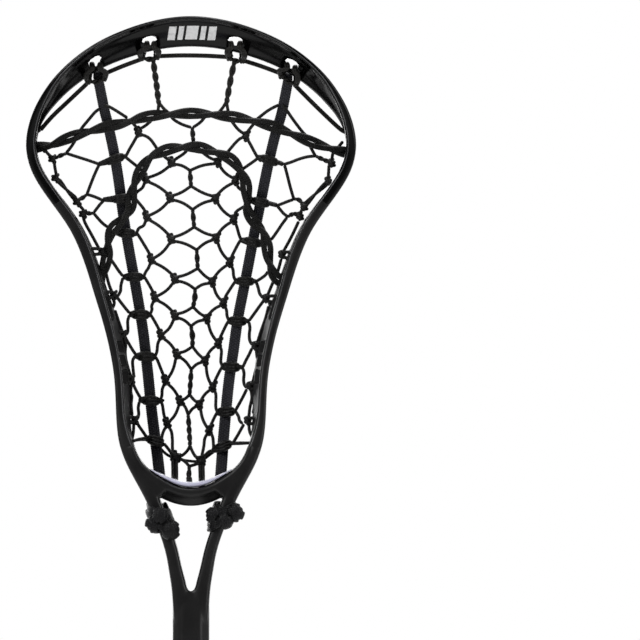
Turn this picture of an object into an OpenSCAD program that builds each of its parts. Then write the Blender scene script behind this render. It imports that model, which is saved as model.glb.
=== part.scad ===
// Lacrosse stick for the field game: a moulded head with an open wishbone throat,
// a strung pocket with two woven runners, and an eight-sided tubular handle.
// Millimetres. +Z runs up the handle to the scoop, the open face of the head
// looks along -Y, and the origin is the centre of the butt cap's end face.

/* [Stick] */
// Height of the whole stick, from butt face to scoop tip
stick_l = 1090; // [1000:5:1098]

/* [Handle] */
// Width of the handle across its flats
handle_af = 22.6; // [22.2:0.1:23]
// Width of each main flat of the handle
handle_flat = 11.2; // [10:0.2:12]
// Thickness of the handle's wall
handle_wall = 2; // [1.6:0.1:2.4]

/* [Head] */
// Distance from the scoop tip down to the mouth of the handle socket
head_l = 404; // [402:1:408]
// Distance from the scoop tip down to the end of the handle inside the socket
handle_top_d = 354; // [352:1:360]
// Clearance between the handle and its socket, all round
socket_gap = 0.15; // [0.1:0.05:0.3]

/* [Butt cap] */
// Radius of the rubber cap
cap_r = 14.4; // [14.2:0.1:15]
// Height of the rubber cap
cap_h = 26; // [22:1:32]

/* [Pocket] */
// Radius of the net cord
net_r = 0.95; // [0.8:0.05:1.1]
// Depth of the pocket below the back rail at its deepest
pocket_drop = 24; // [16:1:26]
// Number of net rows
net_rows = 12; // [10:1:13]
// Number of half cells across the net
net_cols = 8; // [6:2:10]
// Width of each woven runner
runner_w = 5.6; // [5:0.2:6.4]

/* [Screw] */
// Radius of the head screw's shank
screw_r = 1.75; // [1.6:0.05:1.9]
// Distance of the screw below the scoop tip
screw_d = 386; // [382:1:390]

/* [Hidden] */
$fn = 48;
black = [0.05, 0.05, 0.055];
cord_black = [0.03, 0.03, 0.03];

// Height of a station that lies d below the scoop tip
function zz(d) = stick_l - d;

// Catmull-Rom value between rows i and i+1 of a list of number rows
function cr(p, i, t) = let(n = len(p) - 1,
    a = p[max(i - 1, 0)], b = p[i], c = p[min(i + 1, n)], e = p[min(i + 2, n)])
    0.5 * (2 * b + (c - a) * t + (2 * a - 5 * b + 4 * c - e) * t * t
           + (3 * b - a - 3 * c + e) * t * t * t);
function smooth(p, k) = concat([for (i = [0 : len(p) - 2]) for (j = [0 : k - 1]) cr(p, i, j / k)],
                               [p[len(p) - 1]]);

// Solid through a list of rings of equal length, capped at both ends
module loft(rings, back = false) {
    r = back ? [for (k = [len(rings) - 1 : -1 : 0]) rings[k]] : rings;
    n = len(r); m = len(r[0]);
    polyhedron(points = [for (g = r) for (q = g) q],
        faces = concat([[for (i = [0 : m - 1]) i]],
            [for (k = [0 : n - 2]) for (i = [0 : m - 1]) let(j = (i + 1) % m)
                each [[k * m + i, (k + 1) * m + i, k * m + j],
                      [k * m + j, (k + 1) * m + i, (k + 1) * m + j]]],
            [[for (i = [m - 1 : -1 : 0]) (n - 1) * m + i]]));
}
function unit(v) = v / norm(v);
function tang(p, i) = unit(p[min(i + 1, len(p) - 1)] - p[max(i - 1, 0)]);
// Rings of an oval cord: half width a across the face, half depth b front to back
function oval_rings(p, a, b, m = 8) = [for (i = [0 : len(p) - 1])
    let(t = tang(p, i), s = unit(cross(t, [0, 1, 0])), u = cross(s, t))
    [for (k = [0 : m - 1]) p[i] + s * a * cos(360 * k / m) - u * b * sin(360 * k / m)]];
function flat_rings(p, a, b) = [for (i = [0 : len(p) - 1])
    let(t = tang(p, i), s = unit(cross(t, [0, 1, 0])), u = cross(s, t))
    [for (q = [[1, 0.55], [0.8, 1], [-0.8, 1], [-1, 0.55], [-1, -0.55], [-0.8, -1], [0.8, -1], [1, -0.55]])
        p[i] + s * a * q[0] - u * b * q[1]]];

// Outline of the head, right half, from the neck up to the scoop tip:
// [x, d, front bead width, front y, back y, inward lean of the back edge, wall, back rail width]
rim = [
    [ 9.6, 324, 8.4, -9.0,  9.2, 0,    8.4, 8.4],
    [10.3, 311, 8.4, -8.8, 10.0, 0,    8.4, 8.4],
    [12.0, 300, 7.2, -8.6, 12.0, 0,    7.2, 7.2],
    [14.0, 289, 6.8, -8.4, 14.5, 0,    6.8, 6.8],
    [18.5, 276, 6.8, -8.2, 19.0, 0.2,  6.6, 6.8],
    [24.5, 262, 7.4, -8.0, 24.5, 0.5,  6.6, 7.0],
    [30.5, 251, 8.0, -7.5, 28.5, 0.8,  6.0, 7.0],
    [35.7, 241, 8.0, -7.0, 31.0, 1.0,  5.0, 6.6],
    [39.4, 230, 7.0, -6.0, 32.5, 2.6,  4.0, 5.0],
    [40.8, 217, 5.4, -4.5, 34.0, 4.2,  3.2, 3.6],
    [41.3, 204, 5.0, -3.0, 35.0, 5.0,  2.6, 3.2],
    [42.6, 190, 5.0, -1.5, 35.5, 5.2,  2.4, 3.2],
    [46.6, 171, 5.2,  0.0, 36.0, 5.0,  2.4, 3.4],
    [52.3, 152, 5.6,  1.4, 35.5, 3.4,  2.8, 4.2],
    [58.5, 132, 6.2,  2.0, 34.0, 2.0,  3.2, 5.2],
    [66.0, 115, 6.2,  2.0, 31.5, 1.6,  3.2, 5.2],
    [77.5,  99, 6.2,  1.2, 28.0, 1.2,  3.2, 5.2],
    [86.3,  85, 6.0,  0.0, 25.0, 1.0,  3.2, 5.2],
    [89.6,  71, 5.8, -1.6, 22.0, 1.0,  3.2, 5.0],
    [87.4,  57, 5.4, -4.0, 18.5, 2.0,  3.2, 4.6],
    [81.6,  44, 4.6, -6.8, 15.0, 5.2,  3.2, 4.0],
    [72.1,  31, 3.6, -9.2, 12.0, 8.0,  3.3, 3.6],
    [58.1,  19, 3.0,-11.2,  9.4,10.0,  3.4, 3.4],
    [42.7,10.3, 2.8,-12.6,  7.8,11.8,  3.5, 3.2],
    [22.0, 3.0, 2.6,-13.6,  6.6,13.2,  3.6, 3.0],
    [ 0.0, 0.0, 2.5,-14.0,  6.0,14.0,  3.6, 3.0]];
rim_full = concat(rim, [for (i = [len(rim) - 2 : -1 : 0]) let(r = rim[i])
    [-r[0], r[1], r[2], r[3], r[4], r[5], r[6], r[7]]]);
function rim_section(r) = let(bw = r[2], f = r[3], b = r[4], o = r[5], t = r[6], w = r[7], h = b - f)
    [[0.9, f], [0, f + 1.2], [o * 0.25, f + 0.34 * h], [o * 0.6, f + 0.62 * h], [o, b - 1.2],
     [o + 0.9, b], [o + w - 0.9, b], [o + w, b - 1.2], [o + w, b - 5], [o * 0.6 + t, f + 0.62 * h],
     [o * 0.25 + t, f + 0.34 * h], [bw, f + 4], [bw, f + 1.2], [bw - 0.9, f]];
function rim_rings(p) = [for (i = [0 : len(p) - 1])
    let(a = p[max(i - 1, 0)], c = p[min(i + 1, len(p) - 1)],
        t = unit([c[0] - a[0], a[1] - c[1]]), n = [-t[1], t[0]])
    [for (q = rim_section(p[i])) [p[i][0] + n[0] * q[0], q[1], zz(p[i][1]) + n[1] * q[0]]]];

// Inner edge of the ball stop, [x, d]
stop_half = [[0, 255.4], [7, 254.3], [13, 251.6], [19.8, 247.3], [24.5, 243.4], [28.4, 238], [31.2, 231]];
stop_edge = smooth(concat([for (i = [6 : -1 : 1]) [-stop_half[i][0], stop_half[i][1]]], stop_half), 4);
// Ring of the ball stop at station i: n runs outwards, away from the bowl
function stop_ring(i, sec) = let(p = stop_edge, a = p[max(i - 1, 0)], c = p[min(i + 1, len(p) - 1)],
        t = unit([c[0] - a[0], a[1] - c[1]]), n = [t[1], -t[0]])
    [for (q = sec) [p[i][0] + n[0] * q[0], q[1], zz(p[i][1]) + n[1] * q[0]]];
// The bar thins as it runs into the side walls
function stop_taper(i) = lookup(abs(stop_edge[i][0]), [[0, 1], [20, 0.95], [26, 0.75], [31.2, 0.55]]);
stop_sec = [[0.8, -7.6], [0, -6.6], [0, 24], [0.8, 25], [5, 25], [5.8, 24], [6.4, 4], [9.8, -1], [10.2, -3],
            [9.2, -4.2], [5.6, -5], [4.8, -7.6]];

// Half section of the neck and socket: half width a, half flat e, with the corners cut
function eight(a, e, y0, z) = [for (q = [[e, -a], [a, -e], [a, e], [e, a], [-e, a], [-a, e], [-a, -e], [-e, -a]])
    [q[0], q[1] + y0, z]];
neck_rows = smooth([[311, 10.2, 5.6, 0.6], [325, 9.9, 5.4, 0.3], [338, 9.9, 5.4, 0.1], [347, 10.6, 5.6, 0],
    [356, 12.6, 6.4, 0], [364, 13.9, 7, 0], [374, 14.3, 7.2, 0], [head_l - 2, 14.3, 7.2, 0],
    [head_l, 13.7, 6.8, 0]], 3);

// Lean-to windows in the side walls: [top d, bottom d, top shift, y0, y1]
windows = [[92, 109, 5, 9, 20], [113, 131, 6, 10, 23], [135, 152, 6, 9, 25],
           [158, 168, 6, 9, 26], [176, 179.3, -1.8, 8, 27], [185.1, 188.3, 0, 8, 27], [194.2, 199, 1.6, 8, 27]];
module window(w, side) {
    hull() for (q = [[w[0], w[3], 0], [w[0] - w[2], w[4], 0], [w[1], w[3], 0], [w[1] - w[2], w[4], 0]])
        translate([side * 20, q[1], zz(q[0])]) rotate([0, side * 90, 0]) cylinder(r = 1.6, h = 75, $fn = 12);
}
// Half width inside the back rail, and the depth of the string holes, against d
function inner_x(d) = lookup(d, [[15, 30], [24, 47], [37, 64], [50, 75], [57, 80.4], [63, 82.6], [70, 83.6],
    [76, 83], [85, 80], [99, 71], [115, 59.2], [132, 51.3], [152, 44.7], [171, 38.6], [190, 34.6],
    [204, 33.5], [217, 33.4], [230, 32], [241, 28], [249, 23]]);
function edge_y(d) = lookup(d, [[15, 5], [24, 6], [37, 8.5], [50, 12.5], [63, 16.5], [76, 19.8], [89, 23],
    [108, 27], [128, 30], [147, 32], [200, 32], [218, 30.5], [231, 28.5], [245, 26.5], [256, 25]]);
function belly(d) = pocket_drop * lookup(d, [[15, 0], [40, 0.02], [62, 0.14], [90, 0.4], [120, 0.66],
    [150, 0.86], [180, 1], [205, 0.94], [225, 0.66], [240, 0.32], [256, 0]]);
function pocket_y(x, d) = let(u = min(1, abs(x) / inner_x(d))) edge_y(d) + belly(d) * (1 - u * u);
function on_pocket(p, off) = [for (q = p) [q[0], pocket_y(q[0], q[1]) + off, zz(q[1])]];
function mirrored(p) = [for (q = p) [-q[0], q[1]]];

module head_frame() {
    color(black) difference() {
        union() {
            loft(rim_rings(smooth(rim_full, 3)));
            loft([for (i = [0 : len(stop_edge) - 1]) stop_ring(i, [for (q = stop_sec) [q[0] * stop_taper(i), q[1]]])], true);
            loft([for (r = neck_rows) eight(r[1], r[2], r[3], zz(r[0]))], true);
        }
        for (w = windows) for (s = [-1, 1]) window(w, s);
        // string holes in the side rails
        for (h = [[62, 15], [74, 18], [92, 22], [110, 26], [128, 29], [146, 31], [164, 31.5], [182, 32], [200, 31.5], [218, 30]])
            translate([-95, h[1], zz(h[0])]) rotate([0, 90, 0]) cylinder(r = 1.5, h = 190, $fn = 12);
        // string holes in the scoop
        for (q = [[53, 25.8, 30], [23.4, 14, 10], [-23.4, 14, -10], [-53, 25.8, -30]])
            translate([q[0], 0, zz(q[1])]) rotate([0, q[2], 0])
                hull() for (s = [-1, 1]) translate([s * 2, -14, 0]) rotate([-90, 0, 0]) cylinder(r = 2, h = 32, $fn = 14);
        // socket for the handle
        translate([0, 0, zz(head_l) - 1]) linear_extrude(head_l - handle_top_d + 1.3)
            oct(handle_af / 2 + socket_gap, handle_flat / 2);
        // screw hole and the seat of the screw's head
        translate([0, 6, zz(screw_d)]) rotate([-90, 0, 0]) cylinder(r = screw_r + 0.06, h = 12, $fn = 32);
        translate([0, 13.2, zz(screw_d)]) rotate([-90, 0, 0]) cylinder(r = 3.9, h = 4, $fn = 32);
    }
}
module oct(a, e) polygon([[e, -a], [a, -e], [a, e], [e, a], [-e, a], [-a, e], [-a, -e], [-e, -a]]);

module ball_stop_pad() {
    // a crescent of foam on the inner face of the stop, thinner to its ends
    n = len(stop_edge);
    color([0.72, 0.72, 0.8]) loft(back = true, rings = [for (i = [11 : n - 12]) let(x = stop_edge[i][0], t = 0.6 + 2.5 * (1 - pow(x / 22, 2)))
        stop_ring(i, [[-t + 0.4, -5.6], [-t, -4.8], [-t, 21], [-t + 0.4, 22], [-0.08, 22], [-0.08, -5.6]])]);
}

runner_path = smooth([[50.4, 36], [48.6, 46], [45.2, 60], [42, 74], [39, 88], [35.8, 106], [33, 123], [30, 145],
    [26.4, 166], [23.4, 187], [20.6, 210], [18, 232], [16.6, 249]], 3);
module runner(p) color(cord_black) loft(flat_rings(on_pocket(p, 2.6), runner_w / 2, 0.7));
module runner_left() runner(mirrored(runner_path));
module runner_right() runner(runner_path);

upper_path = smooth([[-81, 72.5], [-69, 67], [-52, 61.5], [-35, 57.5], [-16, 53.5], [0, 52.2], [16, 53.2],
    [35, 57.5], [52, 62.5], [69, 69], [81, 73.5]], 4);
module shooting_string_upper() color(cord_black) loft(oval_rings(on_pocket(upper_path, -3.4), 2, 1.5));
lower_half = [[0, 70], [10, 71.2], [20, 75], [28, 82.5], [31.5, 92], [32.5, 103], [36, 111.5], [42, 120], [44.6, 130], [45.2, 141]];
lower_path = smooth(concat([for (i = [9 : -1 : 1]) [-lower_half[i][0], lower_half[i][1]]], lower_half), 3);
module shooting_string_lower() color(cord_black) loft(oval_rings(on_pocket(lower_path, -3.4), 1.9, 1.4));

side_path = smooth([[81.4, 66], [80.6, 78], [75, 90], [65.6, 101], [58, 113], [52, 126], [47, 140], [42.6, 154],
    [38.2, 168], [34.6, 184], [32.4, 200], [31.6, 216], [30.4, 228]], 2);
module sidewall_string(p) color(cord_black) loft(oval_rings(on_pocket(p, 0), 1.1, 1.1));
module sidewall_string_left() sidewall_string(mirrored(side_path));
module sidewall_string_right() sidewall_string(side_path);

top_half = [[0, 24], [20, 24.6], [28, 27], [46, 35.5], [54, 40], [68, 51.5], [82, 63]];
top_path = concat([for (i = [6 : -1 : 1]) [-top_half[i][0], top_half[i][1]]], top_half);
module top_string() color(cord_black) loft(oval_rings([for (q = smooth(top_path, 3)) [q[0], edge_y(q[1]) - 0.6, zz(q[1])]], 1, 1));

hanger_path = smooth([[22.6, 27.5], [20.6, 34], [18.6, 42], [17, 49]], 3);
module hanger(p) color(cord_black) loft(oval_rings(on_pocket(p, 0.6), 1.4, 1.2));
module top_hanger_left() hanger(mirrored(hanger_path));
module top_hanger_right() hanger(hanger_path);

// Six-sided net on the pocket's surface: rows of zigzag cord joined by short upright links
function net_d(r) = 60 + r * (232 - 60) / (net_rows - 1);
function net_pt(i, r) = let(u = -1 + 2 * i / net_cols, d = net_d(r) + ((i + r) % 2 == 0 ? -3 : 3),
    x = u * (inner_x(d) - 3.6)) [x, pocket_y(x, d), zz(d)];
module bar(a, b) hull() { translate(a) sphere(r = net_r, $fn = 6); translate(b) sphere(r = net_r, $fn = 6); }
module cross_lacing() {
    color(cord_black) {
        for (r = [0 : net_rows - 1]) for (i = [0 : net_cols - 1]) bar(net_pt(i, r), net_pt(i + 1, r));
        for (r = [0 : net_rows - 2]) for (i = [0 : net_cols]) if ((i + r) % 2 == 1) bar(net_pt(i, r), net_pt(i, r + 1));
    }
}
bottom_path = smooth([[-31.4, 228.5], [-24, 229.5], [-16, 234], [-8, 240.5], [0, 242.4], [8, 240.5], [16, 234], [24, 229.5], [31.4, 228.5]], 3);
module bottom_string() color(cord_black) loft(oval_rings(on_pocket(bottom_path, -2.4), 1, 1));
module stop_tie(x) color(cord_black) loft(oval_rings(smooth([[x, 29.5, zz(242.5)], [x, 27.6, zz(246)], [x, 25.8, zz(250)], [x, 26.6, zz(253.6)]], 3), 1.3, 0.9));
module stop_tie_left() stop_tie(-10.2);
module stop_tie_centre() stop_tie(-1.6);
module stop_tie_right() stop_tie(6.4);

// Runner ends knotted round the legs of the throat
module knot(lumps) color(cord_black) for (q = lumps) bar_r(q);
module bar_r(q) hull() { translate([q[0], q[1], zz(q[2])]) sphere(r = q[6], $fn = 10); translate([q[3], q[4], zz(q[5])]) sphere(r = q[6], $fn = 10); }
module throat_knot_left() knot([[-20, -9.5, 268, -13, -9.5, 270, 4], [-20.5, -8.5, 279, -9.5, -8.5, 281, 4.4], [-14, -10, 268, -13, -10, 281, 4],
    [-21.5, 2, 270, -21.5, 2, 277, 4], [-9.5, 2, 275, -9.5, 2, 281, 3.6], [-20, 17, 270, -11, 17, 276, 4],
    [-21, -8, 272, -21.5, 16, 271, 3.6], [-9, -8, 279, -9, 16, 277, 3.4]]);
module throat_knot_right() knot([[20, -9.5, 266, 13, -9.5, 274, 4], [22, -9, 271, 14.5, -9, 277, 4], [27.5, -6, 265.5, 26, -6, 270, 3.8],
    [12.5, 2, 267, 12.5, 2, 274, 3.8], [25.5, 2, 267, 24.5, 2, 272, 3.6], [13, 17, 271, 22, 17, 267, 4],
    [12.5, -8, 270, 12.5, 16, 271, 3.6], [25, -8, 270, 24.5, 16, 268, 3.4]]);

module head_screw() {
    color([0.6, 0.6, 0.62]) translate([0, 0, zz(screw_d)]) rotate([-90, 0, 0]) difference() {
        union() {
            translate([0, 0, 6.2]) cylinder(r1 = 0.5, r2 = screw_r, h = 2.2, $fn = 32);
            translate([0, 0, 8.4]) cylinder(r = screw_r, h = 4.9, $fn = 32);
            translate([0, 0, 13.3]) cylinder(r = 3.6, h = 1.3, $fn = 40);
            translate([0, 0, 14.6]) cylinder(r1 = 3.6, r2 = 2.6, h = 0.7, $fn = 40);
        }
        for (a = [0, 90]) rotate([0, 0, a]) translate([-2.1, -0.35, 14.1]) cube([4.2, 0.7, 2]);
    }
}
module handle_tube() {
    color([0.07, 0.07, 0.08]) difference() {
        translate([0, 0, 5.2]) linear_extrude(zz(handle_top_d) - 5.2) difference() {
            oct(handle_af / 2, handle_flat / 2);
            oct(handle_af / 2 - handle_wall, handle_flat / 2 - 0.8);
        }
        translate([0, 6, zz(screw_d)]) rotate([-90, 0, 0]) cylinder(r = screw_r + 0.06, h = 12, $fn = 32);
    }
}
module butt_cap() {
    color([0.04, 0.04, 0.04]) difference() {
        rotate_extrude($fn = 72) polygon([[0, 0], [10.8, 0], [12.3, 0.5], [13.5, 1.6], [14.2, 3.1], [cap_r, 4.8],
            [cap_r, cap_h - 4], [13.6, cap_h - 0.6], [13.2, cap_h], [0, cap_h]]);
        translate([0, 0, 5]) linear_extrude(cap_h) difference() {
            oct(handle_af / 2 + 0.12, handle_flat / 2);
            oct(handle_af / 2 - handle_wall - 0.15, handle_flat / 2 - 0.9);
        }
        translate([0, 0, cap_h - 5]) linear_extrude(6) oct(handle_af / 2 + 0.12, handle_flat / 2);
    }
}

head_frame();
ball_stop_pad();
runner_left();
runner_right();
shooting_string_upper();
shooting_string_lower();
sidewall_string_left();
sidewall_string_right();
top_string();
top_hanger_left();
top_hanger_right();
cross_lacing();
bottom_string();
stop_tie_left();
stop_tie_centre();
stop_tie_right();
throat_knot_left();
throat_knot_right();
head_screw();
handle_tube();
butt_cap();
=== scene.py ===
import math
import bpy
import bmesh
import numpy as np
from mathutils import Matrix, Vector


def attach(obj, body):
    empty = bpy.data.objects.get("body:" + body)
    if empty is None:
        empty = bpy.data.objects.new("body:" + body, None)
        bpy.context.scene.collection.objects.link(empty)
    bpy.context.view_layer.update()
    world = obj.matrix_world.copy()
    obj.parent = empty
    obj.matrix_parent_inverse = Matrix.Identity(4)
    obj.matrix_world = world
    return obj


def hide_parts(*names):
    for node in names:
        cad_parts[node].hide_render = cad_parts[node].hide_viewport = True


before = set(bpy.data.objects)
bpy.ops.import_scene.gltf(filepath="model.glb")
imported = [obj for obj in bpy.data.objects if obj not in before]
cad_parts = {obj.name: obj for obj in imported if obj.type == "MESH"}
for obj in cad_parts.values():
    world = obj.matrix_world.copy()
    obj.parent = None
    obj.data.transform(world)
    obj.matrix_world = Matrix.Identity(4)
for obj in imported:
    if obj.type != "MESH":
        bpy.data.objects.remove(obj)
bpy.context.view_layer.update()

MM = 0.001
U = 0.54                       # route unit, mm: routes are written in units of 0.54 mm
TOP = 1090.0                   # scoop tip, mm
scene = bpy.context.scene

# ------------------------------------------------------------------ camera
cam_data = bpy.data.cameras.new("cam")
cam = bpy.data.objects.new("cam", cam_data)
scene.collection.objects.link(cam)
cam_data.sensor_width = 36
cam_data.lens = 36 * 8000 / 345.6
cam_data.clip_start = 0.1
cam_data.clip_end = 100
cam.location = (0.06966, -8.0, 0.9253)
cam.rotation_euler = (math.pi / 2, 0, 0)
scene.camera = cam


# ------------------------------------------------------------------ numbers
def look(x, t):
    return float(np.interp(x, [a for a, _ in t], [b for _, b in t]))


INNER = [(15, 30), (24, 47), (37, 64), (50, 75), (57, 80.4), (63, 82.6), (70, 83.6), (76, 83), (85, 80), (99, 71),
         (115, 59.2), (132, 51.3), (152, 44.7), (171, 38.6), (190, 34.6), (204, 33.5), (217, 33.4), (230, 32),
         (241, 28), (249, 23)]
EDGE = [(15, 5), (24, 6), (37, 8.5), (50, 12.5), (63, 16.5), (76, 19.8), (89, 23), (108, 27), (128, 30), (147, 32),
        (200, 32), (218, 30.5), (231, 28.5), (245, 26.5), (256, 25)]
BELLY = [(15, 0), (40, 0.02), (62, 0.14), (90, 0.4), (120, 0.66), (150, 0.86), (180, 1), (205, 0.94), (225, 0.66),
         (240, 0.32), (256, 0)]


def pocket_y(x, d):
    u = min(1.0, abs(x) / look(d, INNER))
    return look(d, EDGE) + 24 * look(d, BELLY) * (1 - u * u)


def W(p, off=0.0):
    """Route point (across, down, depth offset) in route units, laid on the pocket's surface, in mm."""
    x = (p[0] - 191) * U
    d = (p[1] - 15) * U
    o = p[2] if len(p) > 2 else 0.0
    return np.array([x, pocket_y(x, d) + off + o, TOP - d])


def A(px, py, y):
    """Route point with its own depth y in mm."""
    return np.array([(px - 191) * U, y, TOP - (py - 15) * U])


def catmull(p, ds=0.6):
    p = [np.array(q, float) for q in p]
    if len(p) == 2:
        n = max(2, int(np.linalg.norm(p[1] - p[0]) / ds))
        return np.array([p[0] + (p[1] - p[0]) * t for t in np.linspace(0, 1, n + 1)])
    out = []
    for i in range(len(p) - 1):
        a, b = p[max(i - 1, 0)], p[i]
        c, e = p[i + 1], p[min(i + 2, len(p) - 1)]
        n = max(2, int(np.linalg.norm(c - b) / ds))
        for t in np.arange(n) / n:
            out.append(0.5 * (2 * b + (c - a) * t + (2 * a - 5 * b + 4 * c - e) * t * t
                              + (3 * b - a - 3 * c + e) * t ** 3))
    out.append(p[-1])
    return np.array(out)


def resample(q, ds):
    s = np.r_[0, np.cumsum(np.linalg.norm(np.diff(q, axis=0), axis=1))]
    n = max(3, int(s[-1] / ds) + 1)
    t = np.linspace(0, s[-1], n)
    return np.c_[np.interp(t, s, q[:, 0]), np.interp(t, s, q[:, 1]), np.interp(t, s, q[:, 2])], t


def frames(q):
    t = np.gradient(q, axis=0)
    t /= np.linalg.norm(t, axis=1)[:, None] + 1e-12
    up = np.array([0, 1.0, 0])
    s = np.cross(t, up)
    l = np.linalg.norm(s, axis=1)
    bad = l < 0.25
    if bad.any():
        # carry the side vector along where the cord runs front to back
        for i in range(len(q)):
            if bad[i]:
                ref = s[i - 1] if i and not (l[i - 1] < 1e-6) else np.array([1.0, 0, 0])
                v = ref - t[i] * (ref @ t[i])
                s[i] = v / (np.linalg.norm(v) + 1e-12)
            else:
                s[i] /= l[i]
                if i and s[i] @ s[i - 1] < 0 and bad[i - 1]:
                    s[i:] = -s[i:]
    s /= np.linalg.norm(s, axis=1)[:, None] + 1e-12
    u = np.cross(s, t)
    return t, s, u


class Batch:
    """Several closed tubes gathered into one mesh, with lengthwise and round-the-cord UVs in mm."""
    def __init__(self):
        self.v, self.f, self.uv, self.n = [], [], [], 0

    def rings(self, R, uvs):
        # R: (n, m, 3) rings; uvs: (n, m + 1, 2)
        n, m = R.shape[:2]
        base = self.n
        self.v.append(R.reshape(-1, 3))
        c0, c1 = R[0].mean(0), R[-1].mean(0)
        self.v.append(np.array([c0, c1]))
        for k in range(n - 1):
            for i in range(m):
                j = (i + 1) % m
                self.f.append((base + k * m + i, base + (k + 1) * m + i, base + (k + 1) * m + j, base + k * m + j))
                self.uv.append((uvs[k][i], uvs[k + 1][i], uvs[k + 1][i + 1], uvs[k][i + 1]))
        e0, e1 = base + n * m, base + n * m + 1
        for i in range(m):
            j = (i + 1) % m
            self.f.append((base + i, base + j, e0))
            self.uv.append((uvs[0][i], uvs[0][i + 1], uvs[0][i]))
            self.f.append((base + (n - 1) * m + j, base + (n - 1) * m + i, e1))
            self.uv.append((uvs[-1][i + 1], uvs[-1][i], uvs[-1][i]))
        self.n += n * m + 2

    def tube(self, pts, r, sides=10, ds=0.55, braid=0.018, squash=1.0, pitch=2.2, smooth=True):
        q = catmull(pts) if smooth else np.array(pts)
        q, s = resample(q, ds)
        t, sv, uv = frames(q)
        a = np.linspace(0, 2 * np.pi, sides, endpoint=False)
        rr = r if np.ndim(r) else np.full(len(q), r)
        if np.ndim(r) and len(r) != len(q):
            rr = np.interp(np.linspace(0, 1, len(q)), np.linspace(0, 1, len(r)), r)
        end = np.minimum(s, s[-1] - s)
        rr = rr * np.sqrt(np.clip(end / (0.6 * np.max(rr)) + 0.35, 0, 1))
        ph = 2 * np.pi * s[:, None] / pitch
        bumps = np.maximum(np.sin(ph + 2 * a[None]), np.sin(ph - 2 * a[None]))
        rad = rr[:, None] * (1 + braid * bumps)
        R = q[:, None] + sv[:, None] * (rad * np.cos(a))[:, :, None] + uv[:, None] * (rad * np.sin(a) * squash)[:, :, None]
        w = np.linspace(0, 1, sides + 1)
        UVs = np.stack([np.repeat(s[:, None], sides + 1, 1), np.repeat(w[None], len(q), 0)], 2)
        self.rings(R, UVs)

    def twist(self, pts, r, off, pitch, phase=0.0, depth=1.0, **k):
        q, s = resample(catmull(pts), 0.5)
        t, sv, uv = frames(q)
        turns = max(0.5, round(2 * s[-1] / pitch) / 2)
        ang = phase + 2 * np.pi * turns * s / s[-1]
        fade = np.clip(np.minimum(s, s[-1] - s) / 2.0, 0.25, 1)
        for sg in (1, -1):
            c = q + sv * (sg * off * fade * np.cos(ang))[:, None] + uv * (sg * off * depth * fade * np.sin(ang))[:, None]
            self.tube(c, r, smooth=False, **k)

    def strap(self, pts, w, th, ds=0.26, rib=0.03, rib_pitch=1.05, roll=None, smooth=True):
        """Flat woven strap of width w and thickness th."""
        q = catmull(pts) if smooth else np.array(pts)
        q, s = resample(q, ds)
        t, sv, uv = frames(q)
        if roll is not None:
            rl = np.interp(np.linspace(0, 1, len(q)), np.linspace(0, 1, len(roll)), roll)
            c, d = np.cos(rl)[:, None], np.sin(rl)[:, None]
            sv, uv = sv * c + uv * d, uv * c - sv * d
        sec = [(1, 0), (0.985, 0.5), (0.9, 0.9), (0.6, 1), (0.3, 1), (0, 1), (-0.3, 1), (-0.6, 1), (-0.9, 0.9), (-0.985, 0.5),
               (-1, 0), (-0.985, -0.5), (-0.9, -0.9), (-0.6, -1), (-0.3, -1), (0, -1), (0.3, -1), (0.6, -1), (0.9, -0.9), (0.985, -0.5)]
        sec = np.array(sec)
        ww = w if np.ndim(w) else np.full(2, w)
        ww = np.interp(np.linspace(0, 1, len(q)), np.linspace(0, 1, len(ww)), ww)
        ribs = 1 + rib * np.cos(2 * np.pi * s / rib_pitch)
        R = q[:, None] + sv[:, None] * (ww[:, None] / 2 * ribs[:, None] * sec[None, :, 0])[:, :, None] \
            + uv[:, None] * (th / 2 * (1 + 2.2 * (ribs[:, None] - 1)) * sec[None, :, 1])[:, :, None]
        wv = np.r_[sec[:, 0] * w if not np.ndim(w) else sec[:, 0] * ww.mean(), 0]
        wv[-1] = wv[0]
        wv = wv / 2
        UVs = np.stack([np.repeat(s[:, None], len(sec) + 1, 1), np.repeat(wv[None], len(q), 0)], 2)
        self.rings(R, UVs)

    def make(self, name, material):
        me = bpy.data.meshes.new(name)
        V = np.concatenate(self.v) * MM
        me.from_pydata(V.tolist(), [], self.f)
        lay = me.uv_layers.new(name="UVMap")
        flat = np.array([c for face in self.uv for c in face], float)
        lay.data.foreach_set("uv", (flat * np.array([1.0, 1.0])).ravel())
        me.materials.append(material)
        me.polygons.foreach_set("use_smooth", [True] * len(me.polygons))
        me.update()
        ob = bpy.data.objects.new(name, me)
        scene.collection.objects.link(ob)
        return ob


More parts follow.
